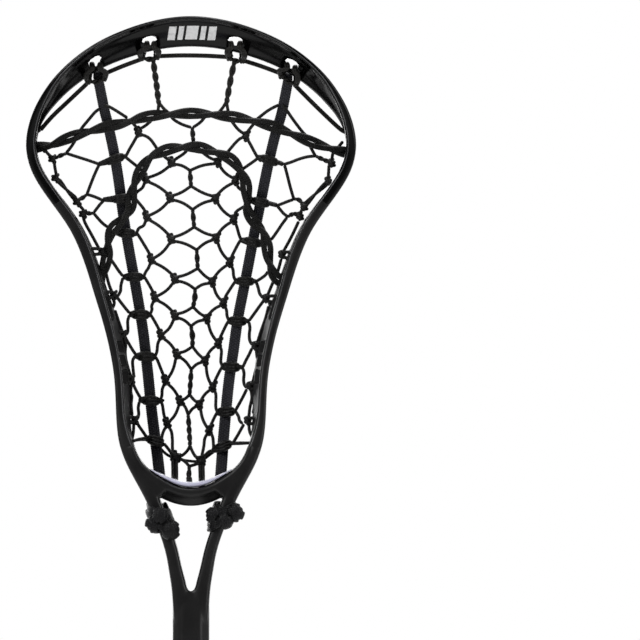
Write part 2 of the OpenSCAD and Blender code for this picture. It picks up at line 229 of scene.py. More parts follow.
# ------------------------------------------------------------------ materials
class Nodes:
    def __init__(self, name):
        self.m = bpy.data.materials.new(name)
        self.m.use_nodes = True
        self.t = self.m.node_tree
        self.b = self.t.nodes["Principled BSDF"]

    def n(self, kind, **kw):
        x = self.t.nodes.new(kind)
        for k, v in kw.items():
            setattr(x, k, v)
        return x

    def link(self, a, b):
        self.t.links.new(a, b)

    def math(self, op, a, b=None, c=None):
        x = self.n("ShaderNodeMath", operation=op)
        for i, v in enumerate((a, b, c)):
            if v is None:
                continue
            if isinstance(v, (int, float)):
                x.inputs[i].default_value = v
            else:
                self.link(v, x.inputs[i])
        return x.outputs[0]

    def uv(self):
        u = self.n("ShaderNodeUVMap", uv_map="UVMap")
        s = self.n("ShaderNodeSeparateXYZ")
        self.link(u.outputs[0], s.inputs[0])
        return s.outputs[0], s.outputs[1]

    def obj(self):
        c = self.n("ShaderNodeTexCoord")
        return c.outputs["Object"]

    def noise(self, scale, detail=3, vec=None, rough=0.5):
        x = self.n("ShaderNodeTexNoise")
        x.inputs["Scale"].default_value = scale
        x.inputs["Detail"].default_value = detail
        x.inputs["Roughness"].default_value = rough
        self.link(vec if vec is not None else self.obj(), x.inputs["Vector"])
        return x.outputs["Fac"]

    def mix(self, f, a, b):
        x = self.n("ShaderNodeMix", data_type="RGBA")
        for key, v in ((0, f), (6, a), (7, b)):
            if isinstance(v, (int, float)):
                x.inputs[key].default_value = v
            elif isinstance(v, tuple):
                x.inputs[key].default_value = (*v, 1)
            else:
                self.link(v, x.inputs[key])
        return x.outputs[2]

    def ramp(self, f, lo, hi, a=0.0, b=1.0):
        x = self.n("ShaderNodeMapRange")
        x.inputs[1].default_value, x.inputs[2].default_value = lo, hi
        x.inputs[3].default_value, x.inputs[4].default_value = a, b
        self.link(f, x.inputs[0])
        return x.outputs[0]

    def bump(self, h, strength, dist_mm):
        x = self.n("ShaderNodeBump")
        x.inputs["Strength"].default_value = strength
        x.inputs["Distance"].default_value = dist_mm * MM
        self.link(h, x.inputs["Height"])
        self.link(x.outputs[0], self.b.inputs["Normal"])

    def set(self, **kw):
        for k, v in kw.items():
            s = self.b.inputs[k.replace("_", " ")]
            if hasattr(v, "links") or isinstance(v, bpy.types.NodeSocket):
                self.link(v, s)
            else:
                s.default_value = v if not (isinstance(v, tuple) and len(v) == 3) else (*v, 1)
        return self.m


def cord_material(name, dark, light, pitch=2.2, rough=0.5, k=2):
    g = Nodes(name)
    s, a = g.uv()
    ps = g.math("MULTIPLY", s, 2 * math.pi / pitch)
    pa = g.math("MULTIPLY", a, 2 * math.pi * k)
    h1 = g.math("SINE", g.math("ADD", ps, pa))
    h2 = g.math("SINE", g.math("SUBTRACT", ps, pa))
    h = g.math("MAXIMUM", h1, h2)
    # filaments inside each strand of the braid
    fil = g.math("SINE", g.math("ADD", g.math("MULTIPLY", s, 11.0), g.math("MULTIPLY", a, 30.0)))
    hh = g.math("ADD", g.math("MULTIPLY", h, 0.8), g.math("MULTIPLY", fil, 0.12))
    fuzz = g.noise(900, 4)
    # colour follows the braid height: the lighter crests and darker grooves are painted shade, and the fuzz noise adds
    # random tone
    tone = g.math("ADD", g.ramp(h, -0.4, 1.0, 0.0, 0.75), g.math("MULTIPLY", fuzz, 0.35))
    col = g.mix(tone, dark, light)
    g.bump(hh, 0.6, 0.1)
    r = g.ramp(fuzz, 0.3, 0.7, rough - 0.06, rough + 0.1)
    return g.set(Base_Color=col, Roughness=r, Specular_IOR_Level=0.22, Sheen_Weight=0.02, Sheen_Roughness=0.4)


def web_material(name, dark, light, rib=1.05, col_w=0.8, rough=0.5, spec=0.22):
    g = Nodes(name)
    s, w = g.uv()
    c = g.math("FLOOR", g.math("DIVIDE", w, col_w))
    odd = g.math("MODULO", g.math("ABSOLUTE", c), 2.0)
    ph = g.math("ADD", g.math("MULTIPLY", s, math.pi / rib), g.math("MULTIPLY", odd, math.pi / 2))
    h = g.math("ABSOLUTE", g.math("SINE", ph))
    fr = g.math("FRACT", g.math("DIVIDE", w, col_w))
    colh = g.math("SUBTRACT", 1.0, g.math("POWER", g.math("ABSOLUTE", g.math("SUBTRACT", g.math("MULTIPLY", fr, 2.0), 1.0)), 3.0))
    h = g.math("MULTIPLY", h, colh)
    fuzz = g.noise(1100, 4)
    hh = g.math("ADD", h, g.math("MULTIPLY", fuzz, 0.25))
    # colour follows the weave height: the lighter ribs and darker grooves are painted shade, and the fuzz noise adds
    # random tone
    col = g.mix(g.math("ADD", g.math("MULTIPLY", h, 0.75), g.math("MULTIPLY", fuzz, 0.3)), dark, light)
    g.bump(hh, 0.9, 0.16)
    return g.set(Base_Color=col, Roughness=rough, Specular_IOR_Level=spec, Sheen_Weight=0.02, Sheen_Roughness=0.4)


def lace_material(name, dark, light):
    g = Nodes(name)
    s, a = g.uv()
    tri = g.math("ABSOLUTE", g.math("SUBTRACT", g.math("FRACT", g.math("MULTIPLY", a, 4.0)), 0.5))
    ph = g.math("ADD", g.math("MULTIPLY", s, 2 * math.pi / 1.5), g.math("MULTIPLY", tri, 9.0))
    h = g.math("SINE", ph)
    fuzz = g.noise(1000, 4)
    # colour follows the braid wave: the lighter crests and darker grooves are painted shade, and the fuzz noise adds
    # random tone
    col = g.mix(g.math("ADD", g.ramp(h, -1, 1, 0, 0.7), g.math("MULTIPLY", fuzz, 0.3)), dark, light)
    g.bump(g.math("ADD", g.math("MULTIPLY", h, 0.8), g.math("MULTIPLY", fuzz, 0.3)), 0.8, 0.13)
    return g.set(Base_Color=col, Roughness=0.52, Specular_IOR_Level=0.22, Sheen_Weight=0.02, Sheen_Roughness=0.4)


def nylon_material(name, base, rough, grain=0.25, streak=True, coat=0.0, spec=0.5):
    g = Nodes(name)
    o = g.obj()
    fine = g.noise(1400, 5, o)
    big = g.noise(60, 3, o)
    h = g.math("MULTIPLY", fine, 1.0)
    c0 = tuple(c * 0.8 for c in base)
    c1 = tuple(min(1, c * 1.25) for c in base)
    col = g.mix(big, c0, c1)
    if streak:
        # drag marks left by handling, fine and slanted
        m = g.n("ShaderNodeMapping")
        m.inputs["Rotation"].default_value = (0, 0.7, 0)
        m.inputs["Scale"].default_value = (1, 1, 14)
        g.link(o, m.inputs["Vector"])
        st = g.noise(260, 2, m.outputs[0])
        h = g.math("ADD", h, g.math("MULTIPLY", st, 0.8))
    g.bump(h, grain, 0.05)
    r = g.ramp(big, 0.3, 0.7, rough - 0.05, rough + 0.06)
    m_ = g.set(Base_Color=col, Roughness=r, Specular_IOR_Level=spec)
    if coat:
        g.b.inputs["Coat Weight"].default_value = coat
        g.b.inputs["Coat Roughness"].default_value = 0.08
    return m_


M_cord = cord_material("braided_cord", (0.0014, 0.0013, 0.0013), (0.0088, 0.0084, 0.0078))
M_cord_top = cord_material("braided_cord_top", (0.0028, 0.0026, 0.0022), (0.013, 0.012, 0.0105), pitch=2.0)
M_web = web_material("woven_runner", (0.0016, 0.0016, 0.0024), (0.034, 0.034, 0.043), rib=1.55, col_w=1.3)
M_knot = web_material("throat_strap", (0.0010, 0.0010, 0.0011), (0.0100, 0.0100, 0.0112), rib=1.3, col_w=0.9, rough=0.45, spec=0.16)
M_lace = lace_material("flat_lace", (0.0012, 0.0012, 0.0011), (0.0180, 0.0175, 0.0165))
M_rail = nylon_material("moulded_nylon", (0.0085, 0.0083, 0.0085), 0.36, grain=0.25, spec=0.27)
M_gloss = nylon_material("glossy_nylon", (0.0012, 0.0012, 0.0012), 0.16, grain=0.0, streak=False, spec=0.2)
# light grey colour for the rim's front edge line: a painted highlight standing in for light caught by the edge
M_edge_highlight = nylon_material("painted_edge_highlight", (0.045, 0.045, 0.048), 0.24, grain=0.1, streak=False, coat=0.2)

# ------------------------------------------------------------------ head
RIM = [[9.6, 324, 8.4, -9.0, 9.2, 0, 8.4, 8.4], [10.3, 311, 8.4, -8.8, 10.0, 0, 8.4, 8.4],
       [12.0, 300, 7.2, -8.6, 12.0, 0, 7.2, 7.2], [14.0, 289, 6.8, -8.4, 14.5, 0, 6.8, 6.8],
       [18.5, 276, 6.8, -8.2, 19.0, 0.2, 6.6, 6.8], [24.5, 262, 7.4, -8.0, 24.5, 0.5, 6.6, 7.0],
       [30.5, 251, 8.0, -7.5, 28.5, 0.8, 6.0, 7.0], [35.7, 241, 8.0, -7.0, 31.0, 1.0, 5.0, 6.6],
       [39.4, 230, 7.0, -6.0, 32.5, 2.6, 4.0, 5.0], [40.8, 217, 5.4, -4.5, 34.0, 4.2, 3.2, 3.6],
       [41.3, 204, 5.0, -3.0, 35.0, 5.0, 2.6, 3.2], [42.6, 190, 5.0, -1.5, 35.5, 5.2, 2.4, 3.2],
       [46.6, 171, 5.2, 0.0, 36.0, 5.0, 2.4, 3.4], [52.3, 152, 5.6, 1.4, 35.5, 3.4, 2.8, 4.2],
       [58.5, 132, 6.2, 2.0, 34.0, 2.0, 3.2, 5.2], [66.0, 115, 6.2, 2.0, 31.5, 1.6, 3.2, 5.2],
       [77.5, 99, 6.2, 1.2, 28.0, 1.2, 3.2, 5.2], [86.3, 85, 6.0, 0.0, 25.0, 1.0, 3.2, 5.2],
       [89.6, 71, 5.8, -1.6, 22.0, 1.0, 3.2, 5.0], [87.4, 57, 5.4, -4.0, 18.5, 2.0, 3.2, 4.6],
       [81.6, 44, 4.6, -6.8, 15.0, 5.2, 3.2, 4.0], [72.1, 31, 3.6, -9.2, 12.0, 8.0, 3.3, 3.6],
       [58.1, 19, 3.0, -11.2, 9.4, 10.0, 3.4, 3.4], [42.7, 10.3, 2.8, -12.6, 7.8, 11.8, 3.5, 3.2],
       [22.0, 3.0, 2.6, -13.6, 6.6, 13.2, 3.6, 3.0], [0.0, 0.0, 2.5, -14.0, 6.0, 14.0, 3.6, 3.0]]
RIM = np.array(RIM + [[-r[0]] + r[1:] for r in RIM[-2::-1]], float)


def smooth_rows(p, k):
    out = []
    n = len(p) - 1
    for i in range(n):
        a, b, c, e = p[max(i - 1, 0)], p[i], p[i + 1], p[min(i + 2, n)]
        for j in range(k):
            t = j / k
            out.append(0.5 * (2 * b + (c - a) * t + (2 * a - 5 * b + 4 * c - e) * t * t + (3 * b - a - 3 * c + e) * t ** 3))
    out.append(p[-1])
    return np.array(out)


def rim_section(r):
    bw, f, b, o, t, w = r[2:8]
    h = b - f
    return [[0.9, f], [0, f + 1.2], [o * .25, f + .34 * h], [o * .6, f + .62 * h], [o, b - 1.2], [o + .9, b],
            [o + w - .9, b], [o + w, b - 1.2], [o + w, b - 5], [o * .6 + t, f + .62 * h], [o * .25 + t, f + .34 * h],
            [bw, f + 4], [bw, f + 1.2], [bw - .9, f]]


def rim_frames(rows):
    a = np.vstack([rows[:1], rows[:-1]])
    c = np.vstack([rows[1:], rows[-1:]])
    t = np.c_[c[:, 0] - a[:, 0], a[:, 1] - c[:, 1]]
    t /= np.linalg.norm(t, axis=1)[:, None]
    return np.c_[-t[:, 1], t[:, 0]]


def loft(name, rings, material, level=2, flip=False, crease=None):
    R = np.array(rings)
    n, m = R.shape[:2]
    me = bpy.data.meshes.new(name)
    f = []
    for k in range(n - 1):
        for i in range(m):
            j = (i + 1) % m
            q = (k * m + i, (k + 1) * m + i, (k + 1) * m + j, k * m + j)
            f.append(q[::-1] if flip else q)
    a, b = tuple(range(m)), tuple(range((n - 1) * m, n * m))
    f += [a[::-1], b] if flip else [a, b[::-1]]
    me.from_pydata((R.reshape(-1, 3) * MM).tolist(), [], f)
    me.materials.append(material)
    me.update()
    bm = bmesh.new()
    bm.from_mesh(me)
    bmesh.ops.recalc_face_normals(bm, faces=bm.faces)
    bm.to_mesh(me)
    bm.free()
    ob = bpy.data.objects.new(name, me)
    scene.collection.objects.link(ob)
    if level:
        s = ob.modifiers.new("sub", "SUBSURF")
        s.levels = s.render_levels = level
        apply_all(ob)
    me = ob.data
    me.polygons.foreach_set("use_smooth", [True] * len(me.polygons))
    return ob


def apply_all(ob):
    dg = bpy.context.evaluated_depsgraph_get()
    bpy.context.view_layer.update()
    new = bpy.data.meshes.new_from_object(ob.evaluated_get(dg))
    ob.modifiers.clear()
    old = ob.data
    ob.data = new
    bpy.data.meshes.remove(old)


def boolean(ob, cutters, op="DIFFERENCE"):
    for c in cutters:
        b = ob.modifiers.new("b", "BOOLEAN")
        b.object = c
        b.operation = op
        b.solver = "EXACT"
        apply_all(ob)
        bpy.data.objects.remove(c)
    return ob


def prism(name, pts_a, pts_b):
    """Closed prism between two equal polygons, in mm."""
    n = len(pts_a)
    me = bpy.data.meshes.new(name)
    f = [tuple(range(n))[::-1], tuple(range(n, 2 * n))]
    f += [(i, (i + 1) % n, n + (i + 1) % n, n + i) for i in range(n)]
    me.from_pydata([tuple(np.array(p) * MM) for p in list(pts_a) + list(pts_b)], [], f)
    bm = bmesh.new()
    bm.from_mesh(me)
    bmesh.ops.recalc_face_normals(bm, faces=bm.faces)
    bm.to_mesh(me)
    bm.free()
    ob = bpy.data.objects.new(name, me)
    scene.collection.objects.link(ob)
    return ob


def rounded(poly, r=1.2, k=5):
    """Rounds the corners of a convex 2-D polygon."""
    out = []
    n = len(poly)
    P = [np.array(p, float) for p in poly]
    for i in range(n):
        a, b, c = P[i - 1], P[i], P[(i + 1) % n]
        ra = min(r, 0.45 * np.linalg.norm(a - b), 0.45 * np.linalg.norm(c - b))
        p0 = b + (a - b) / np.linalg.norm(a - b) * ra
        p1 = b + (c - b) / np.linalg.norm(c - b) * ra
        for t in np.linspace(0, 1, k):
            out.append((1 - t) ** 2 * p0 + 2 * t * (1 - t) * b + t * t * p1)
    return out


def merge(name, obs):
    bm = bmesh.new()
    for o in obs:
        bm.from_mesh(o.data)
    me = bpy.data.meshes.new(name)
    bm.to_mesh(me)
    bm.free()
    for o in obs:
        bpy.data.objects.remove(o)
    ob = bpy.data.objects.new(name, me)
    scene.collection.objects.link(ob)
    return ob


rows = smooth_rows(RIM, 2)
nrm = rim_frames(rows)
rings = []
for r, n in zip(rows, nrm):
    rings.append([[r[0] + n[0] * q[0], q[1], TOP - r[1] + n[1] * q[0]] for q in rim_section(r)])
CUT = 233.0          # the throat below this depth is smoothed as one moulding
k_lo = [k for k in range(len(rows)) if rows[k][1] < CUT + 9]
k_a, k_b = k_lo[0], k_lo[-1]
head = loft("head", rings[k_a:k_b + 1], M_rail, 2)


def run_out(ring):
    """A smaller ring further down, so the leg sinks into the neck."""
    c = np.mean(ring, 0)
    return (c + (np.array(ring) - c) * 0.7 + [0, 0, -11]).tolist()


leg_l = loft("leg_l", [run_out(rings[0])] + rings[:k_a + 5], M_rail, 2)
leg_r = loft("leg_r", rings[k_b - 4:] + [run_out(rings[-1])], M_rail, 2)

WINDOWS = [[90.4, 110.4, 5, 7.4, 21.6], [111.6, 132.4, 6, 8.4, 24.6], [133.6, 153.6, 6, 7.4, 26.6], [156.4, 169.6, 6, 7.4, 27.6],
           [174.4, 180.9, -1.8, 6.4, 28.6], [183.5, 189.9, 0, 6.4, 28.6], [192.6, 200.6, 1.6, 6.4, 28.6]]
cut, wins = [], []
for w in WINDOWS:
    poly = [(w[3], w[0]), (w[4], w[0] - w[2]), (w[4], w[1] - w[2]), (w[3], w[1])]
    rp = rounded(poly, 1.8)
    for sd in (-1, 1):
        wins.append(prism("w", [(sd * 20, p[0], TOP - p[1]) for p in rp], [(sd * 96, p[0], TOP - p[1]) for p in rp]))
for d, y in ((62, 15), (74, 18), (110, 26), (128, 29), (146, 31), (164, 31.5), (182, 32), (200, 31.5), (218, 30)):
    ring = [(y + 1.4 * math.cos(a), d + 1.4 * math.sin(a)) for a in np.linspace(0, 2 * math.pi, 16, endpoint=False)]
    for sd in (-1, 1):
        cut.append(prism("h", [(sd * 20, p[0], TOP - p[1]) for p in ring], [(sd * 96, p[0], TOP - p[1]) for p in ring]))
# wide string slots in the scoop, each with a narrow foot
for px, py, rot, sc in ((95, 61.5, 33, 1), (149.5, 40.6, 9, 1), (235.3, 41, -9, 1), (291.6, 63.8, -33, 1)):
    a = math.radians(-rot)
    shape = [(-7.4, 0.4), (-6.2, -2.4), (-2.0, -3.8), (3.0, -4.0), (6.4, -2.6), (7.6, 0.2), (5.2, 1.4), (3.4, 3.2), (1.6, 4.4),
             (-1.6, 4.4), (-3.4, 3.2), (-5.2, 1.6)]
    base = [(px + x * math.cos(a) - y * math.sin(a), py + x * math.sin(a) + y * math.cos(a)) for x, y in shape]
    pts = [((p[0] - 191) * U, TOP - (p[1] - 15) * U) for p in base]
    cut.append(prism("s", [(p[0], -16, p[1]) for p in pts], [(p[0], 22, p[1]) for p in pts]))
boolean(head, [merge("cut_windows", wins), merge("cut_holes", cut)])

STOP = [[0, 255.4], [7, 254.3], [13, 251.6], [19.8, 247.3], [24.5, 243.4], [28.4, 238], [31.2, 231]]
stop_edge = smooth_rows(np.array([[-p[0], p[1]] for p in STOP[:0:-1]] + STOP, float), 4)
STOP_SEC = [[.8, -7.6], [0, -6.6], [0, 24], [.8, 25], [5, 25], [5.8, 24], [6.4, 4], [9.8, -1], [10.2, -3], [9.2, -4.2],
            [5.6, -5], [4.8, -7.6]]


def stop_rings(sec_of, lo=0, hi=None):
    out = []
    n = len(stop_edge)
    hi = n if hi is None else hi
    for i in range(lo, hi):
        a, c = stop_edge[max(i - 1, 0)], stop_edge[min(i + 1, n - 1)]
        t = np.array([c[0] - a[0], a[1] - c[1]])
        t /= np.linalg.norm(t)
        nn = np.array([t[1], -t[0]])
        p = stop_edge[i]
        out.append([[p[0] + nn[0] * q[0], q[1], TOP - p[1] + nn[1] * q[0]] for q in sec_of(i)])
    return out


def taper(i):
    return look(abs(stop_edge[i][0]), [(0, 1), (20, .95), (26, .75), (31.2, .55)])


stop = loft("stop", stop_rings(lambda i: [[q[0] * taper(i), q[1]] for q in STOP_SEC]), M_rail, 1)
NECK = np.array([[311.4, 8.6, 4.0, .9], [316, 9.5, 4.9, .8], [321, 9.9, 5.3, .5], [327, 9.9, 5.4, .3], [338, 9.9, 5.4, .1], [347, 10.6, 5.6, 0], [356, 12.6, 6.4, 0],
                 [364, 13.9, 7, 0], [374, 14.3, 7.2, 0], [402, 14.3, 7.2, 0], [404, 13.7, 6.8, 0]], float)


def eight(a, e, y0=0.0, c=0.0):
    pts = [(e, -a), (a, -e), (a, e), (e, a), (-e, a), (-a, e), (-a, -e), (-e, -a)]
    if c:
        pts = rounded(pts, c, 4)
    return [(p[0], p[1] + y0) for p in pts]


neck = loft("neck", [[[p[0], p[1], TOP - r[0]] for p in eight(r[1], r[2], r[3], 1.3)] for r in smooth_rows(NECK, 4)], M_rail, 0)
# the fork of the throat ends in a small round
fork = [(-7.2, 306.5), (-4.0, 306.7), (-2.7, 308.2), (-1.9, 309.8), (-1.0, 310.8), (0, 311.1), (1.0, 310.8), (1.9, 309.8), (2.7, 308.2),
        (4.0, 306.7), (7.2, 306.5), (7.2, 322), (-7.2, 322)]
fork = prism("fork", [(p[0], -8.0, TOP - p[1]) for p in fork], [(p[0], 9.2, TOP - p[1]) for p in fork])
# gussets where the stop runs into the legs
guss = []
for sd in (-1, 1):
    gp = [(sd * 23.6, 249.0), (sd * 17.8, 252.5), (sd * 13.4, 256.4), (sd * 16.4, 260.2), (sd * 18.9, 257.8), (sd * 22.0, 262.0)]
    guss.append(prism("guss", [(p[0], -7.4, TOP - p[1]) for p in gp], [(p[0], 8.0, TOP - p[1]) for p in gp]))
throat = merge("throat", [leg_l, leg_r, stop, neck, fork] + guss)
rm = throat.modifiers.new("r", "REMESH")
rm.mode = "VOXEL"
rm.voxel_size = 0.00048
rm.use_smooth_shade = True
apply_all(throat)
sm = throat.modifiers.new("s", "SMOOTH")
sm.factor = 0.5
sm.iterations = 34
apply_all(throat)
# the two mouldings meet at a level cut
slab = lambda z0, z1: prism("slab", [(-120, -60, z0), (120, -60, z0), (120, 90, z0), (-120, 90, z0)],
                            [(-120, -60, z1), (120, -60, z1), (120, 90, z1), (-120, 90, z1)])
boolean(throat, [slab(TOP - CUT, TOP + 20)])
boolean(head, [slab(600, TOP - CUT - 0.35)])
boolean(head, [throat], "UNION")
sock = prism("sock", [(p[0], p[1], TOP - 405) for p in eight(11.45, 5.6)], [(p[0], p[1], TOP - 352.7) for p in eight(11.45, 5.6)])
scr = prism("scr", [(1.81 * math.cos(a), 6, 704 + 1.81 * math.sin(a)) for a in np.linspace(0, 2 * math.pi, 32, endpoint=False)],
            [(1.81 * math.cos(a), 18, 704 + 1.81 * math.sin(a)) for a in np.linspace(0, 2 * math.pi, 32, endpoint=False)])
seat = prism("seat", [(3.9 * math.cos(a), 13.2, 704 + 3.9 * math.sin(a)) for a in np.linspace(0, 2 * math.pi, 40, endpoint=False)],
             [(3.9 * math.cos(a), 18, 704 + 3.9 * math.sin(a)) for a in np.linspace(0, 2 * math.pi, 40, endpoint=False)])
boolean(head, [sock, scr, seat])
# the bowl side of the scoop and of the side walls is polished
me = head.data
me.materials.clear()
me.materials.append(M_rail)
me.materials.append(M_gloss)
rx, rd = rows[:, 0], rows[:, 1]
cen = np.array([p.center for p in me.polygons]) / MM
nor = np.array([p.normal for p in me.polygons])
idx = np.zeros(len(cen), np.int32)
P2 = np.c_[rx, TOP - rd]
for k in range(len(cen)):
    x, y, z = cen[k]
    d = TOP - z
    if d > 262:
        continue
    j = np.argmin((P2[:, 0] - x) ** 2 + (P2[:, 1] - z) ** 2)
    dep = (x - P2[j, 0]) * nrm[j, 0] + (z - P2[j, 1]) * nrm[j, 1]
    inward = nor[k, 0] * nrm[j, 0] + nor[k, 2] * nrm[j, 1]
    if d < 104 and rd[j] < 104 and (nor[k, 1] < 0.15 or inward > 0.3) and inward > -0.75:
        idx[k] = 1
me.polygons.foreach_set("material_index", idx)
me.polygons.foreach_set("use_smooth", [True] * len(me.polygons))
me.set_sharp_from_angle(angle=math.radians(38))
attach(head, "stick")
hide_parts("head_frame")

# moulding line along the front edge of the rim, coloured light grey as a painted highlight
edge = Batch()
line = []
for r, n in zip(smooth_rows(RIM, 4), rim_frames(smooth_rows(RIM, 4))):
    if r[1] < 236:
        q = r[2] - 1.15
        line.append([r[0] + n[0] * q, r[3] + 0.34, TOP - r[1] + n[1] * q])
edge.tube(line, 0.3, sides=8, ds=0.8, braid=0, smooth=False)
edge_ob = edge.make("rim_edge", M_edge_highlight)
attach(edge_ob, "stick")

# ------------------------------------------------------------------ ball stop pad
n_stop = len(stop_edge)


def pad_sec(i):
    x = stop_edge[i][0]
    t = 0.5 + 2.6 * (1 - (x / 22.0) ** 2)
    t = max(t, 0.35)
    return [[-0.08, -5.6], [-t * 0.6, -6.0], [-t, -4.8], [-t, 2], [-t * 1.02, 9], [-t, 16], [-t, 21], [-t * 0.6, 22.2], [-0.08, 22], [-0.08, 9]]


g = Nodes("pad_foam")
o = g.obj()
cells = g.n("ShaderNodeTexVoronoi")
cells.inputs["Scale"].default_value = 2600
g.link(o, cells.inputs["Vector"])
big = g.noise(90, 3, o)
g.bump(g.math("ADD", cells.outputs["Distance"], g.math("MULTIPLY", big, 1.5)), 0.35, 0.08)
M_pad = g.set(Base_Color=g.mix(big, (0.34, 0.34, 0.47), (0.60, 0.60, 0.74)), Roughness=0.34, Specular_IOR_Level=0.55,
              Sheen_Weight=0.15)
pad = loft("stop_pad", stop_rings(pad_sec, 10, n_stop - 10), M_pad, 2)
pad.data.set_sharp_from_angle(angle=math.radians(60))
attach(pad, "stick")
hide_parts("ball_stop_pad")

# ------------------------------------------------------------------ strings
R = 0.89            # radius of the net cord, mm


def put(batch, name, mat, node):
    ob = batch.make(name, mat)
    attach(ob, "stick")
    if node:
        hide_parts(*([node] if isinstance(node, str) else node))
    return ob


def route(p, off=0.0):
    return [W(q, off) for q in p]


# runners
RUN_L = [(97.2, 78), (98.9, 84), (104, 110), (107, 122), (113.5, 153), (118, 181), (122.4, 215), (127.6, 247), (135.3, 290),
         (141.7, 329), (146.6, 371), (150.9, 413), (156.5, 455), (158.8, 474), (159.6, 481)]
RUN_R = [(288.2, 80), (287, 86.7), (280.8, 115), (274.4, 138), (269.3, 160), (263, 186), (256.5, 214), (251.4, 238), (247.6, 260),
         (243, 287), (237, 322), (233, 350), (228, 385), (223, 434), (220.6, 470), (219.8, 482)]
RUN_R = [(288.2, 80), (286.6, 88), (281.5, 113), (275.5, 133), (270.5, 153), (265.5, 176), (260.3, 202), (255.0, 228), (250.2, 253),
         (243.6, 287), (237.5, 318), (233, 350), (228, 385), (223.4, 434), (220.8, 470), (219.8, 482)]
for side, pts, node in (("left", RUN_L, "runner_left"), ("right", RUN_R, "runner_right")):
    b = Batch()
    q = route(pts, 2.4)
    # the ends turn back to the stop pad
    q[-1] = q[-1] + np.array([0, 1.5, 0])
    b.strap(q, [5.6, 5.8, 5.8, 6.0, 6.1], 1.6, rib=0.045)
    # turned-over top end round the top string
    x, y, z = q[0]
    s = -1 if side == "left" else 1
    b.strap([q[1] + [0, -0.9, 0], q[0] + [0.5 * -s, -2.0, 1.2], q[0] + [0.3 * -s, -0.6, 3.4], q[0] + [0, 1.8, 3.0], q[0] + [0, 2.4, 0], q[1] + [0, 1.4, 0]], 4.6, 1.1)
    put(b, "runner_web_" + side, M_web, node)

# net: knots
IL = [(171, 161.5), (169.5, 197), (170.5, 238.5), (174, 278.5), (174, 315.5), (176, 354.7), (179.3, 401.7)]
IR = [(217.5, 161), (215, 197.5), (215.5, 237), (211.5, 281), (206, 318), (204.2, 360.3), (198.5, 404.5)]
OL = [(138, 131.5), (145, 178), (146, 216), (150.5, 259), (153.8, 297), (160, 335), (164.5, 380.7), (166.2, 423.5)]
OR = [(245.7, 135), (235.5, 179), (233.5, 218), (229.5, 261), (223, 302), (217.8, 342.5), (212.2, 386.6), (208.7, 430)]
BL, BR = (174.3, 457), (200, 461)
LINK = [((192, 127), (193, 141)), ((189.5, 170), (190.5, 185.5)), ((192, 209), (193.5, 226.5)), ((196, 249.5), (197, 268)),
        ((194.2, 289), (192.2, 306.7)), ((190.1, 326.3), (191.5, 346.6)), ((190.4, 369.8), (188.7, 395)),
        ((187.3, 415.4), (189.4, 446.3)), ((188.7, 467), (188, 484))]
WL = [((98, 163.5), (125.5, 155)), ((102, 199), (135, 197)), ((113, 232), (137, 233)), ((122, 276.5), (144, 276.5)),
      ((128.4, 314), (150.2, 314.5)), ((134, 356), (155, 357)), ((138.2, 400), (160, 401.5)), ((144.8, 438.5), (163, 443.5))]
WR = [((256.5, 156.5), (283.3, 164)), ((250, 200), (277, 205)), ((239.5, 239.5), (258, 243)), ((234, 281), (256, 281.5)),
      ((227.3, 321), (248.4, 321.5)), ((221, 367), (242.8, 368)), ((216, 413), (235.7, 412)), ((211.8, 451), (232, 444))]

net = Batch()
rng = np.random.RandomState(7)


def knot(batch, c, w=2.2, h=4.3, r=1.0, lean=0.0, hand=1, base=0.0, turns=2.3):
    """Compact wrap knot: a tight coil with its two tucked ends."""
    d = (c[1] - 15) * U
    C = np.array([(c[0] - 191) * U, pocket_y((c[0] - 191) * U, d) + base, TOP - d])
    t = np.linspace(0, 1, 40)
    a = hand * 2 * np.pi * turns * t + 0.6
    pinch = 1 - 0.28 * np.exp(-((t - 0.5) / 0.10) ** 2)
    x = w * pinch * np.cos(a) + lean * (t - 0.5) * 2
    y = 1.5 * pinch * np.sin(a)
    z = -h * (2 * t - 1) + 0.5 * np.sin(a)
    pts = C + np.c_[x, y, z] * U * np.array([1, 1.2, 1])
    batch.tube(pts, R * r, smooth=False, ds=0.4)
    # a tucked tail and the crossing turn in front
    e = pts[-1]
    batch.tube([pts[-3], e, e + np.array([hand * 1.2, -0.3, -1.0]) * U * 1.3], R * r * 0.95, ds=0.4)
    batch.tube([C + np.array([-w * 0.8 * hand, -1.6, h * 0.45]) * U, C + np.array([0, -2.4, 0]) * U,
                C + np.array([w * 0.8 * hand, -1.6, -h * 0.45]) * U], R * r, ds=0.4)
    batch.tube([C + np.array([0, 0.6, h * 0.9]) * U, C + np.array([0, 1.2, 0]) * U, C + np.array([0, 0.6, -h * 0.9]) * U], R * r * 1.1, ds=0.4)


def span(batch, a, b, sag=0.0, off=0.0, r=R, lift=0.0):
    """One cord from a to b, bowed sideways by sag route units."""
    a, b = np.array(a[:2], float), np.array(b[:2], float)
    m = (a + b) / 2
    v = b - a
    n = np.array([-v[1], v[0]]) / (np.linalg.norm(v) + 1e-9)
    pts = [a, a + v * 0.25 + n * sag * 0.72, m + n * sag, a + v * 0.75 + n * sag * 0.72, b]
    batch.tube([W((p[0], p[1], lift * math.sin(math.pi * k / 4)), off) for k, p in enumerate(pts)], r)


for k, c in enumerate(IL + IR + OL + OR):
    outer = k >= len(IL) + len(IR)
    left = c[0] < 191
    knot(net, c, w=2.5 if outer else 2.75, h=4.3 if outer else 4.1, r=1.28, lean=0.8 * (1 if left else -1), hand=1 if left else -1)
for c in (BL, BR):
    knot(net, c, w=3.3, h=4.6, r=1.15, lean=0.8, hand=1 if c[0] < 191 else -1, turns=3.0)
    knot(net, (c[0] + 0.6, c[1] + 1.5), w=3.8, h=3.4, r=1.1, lean=-0.8, hand=-1 if c[0] < 191 else 1, turns=2.2)

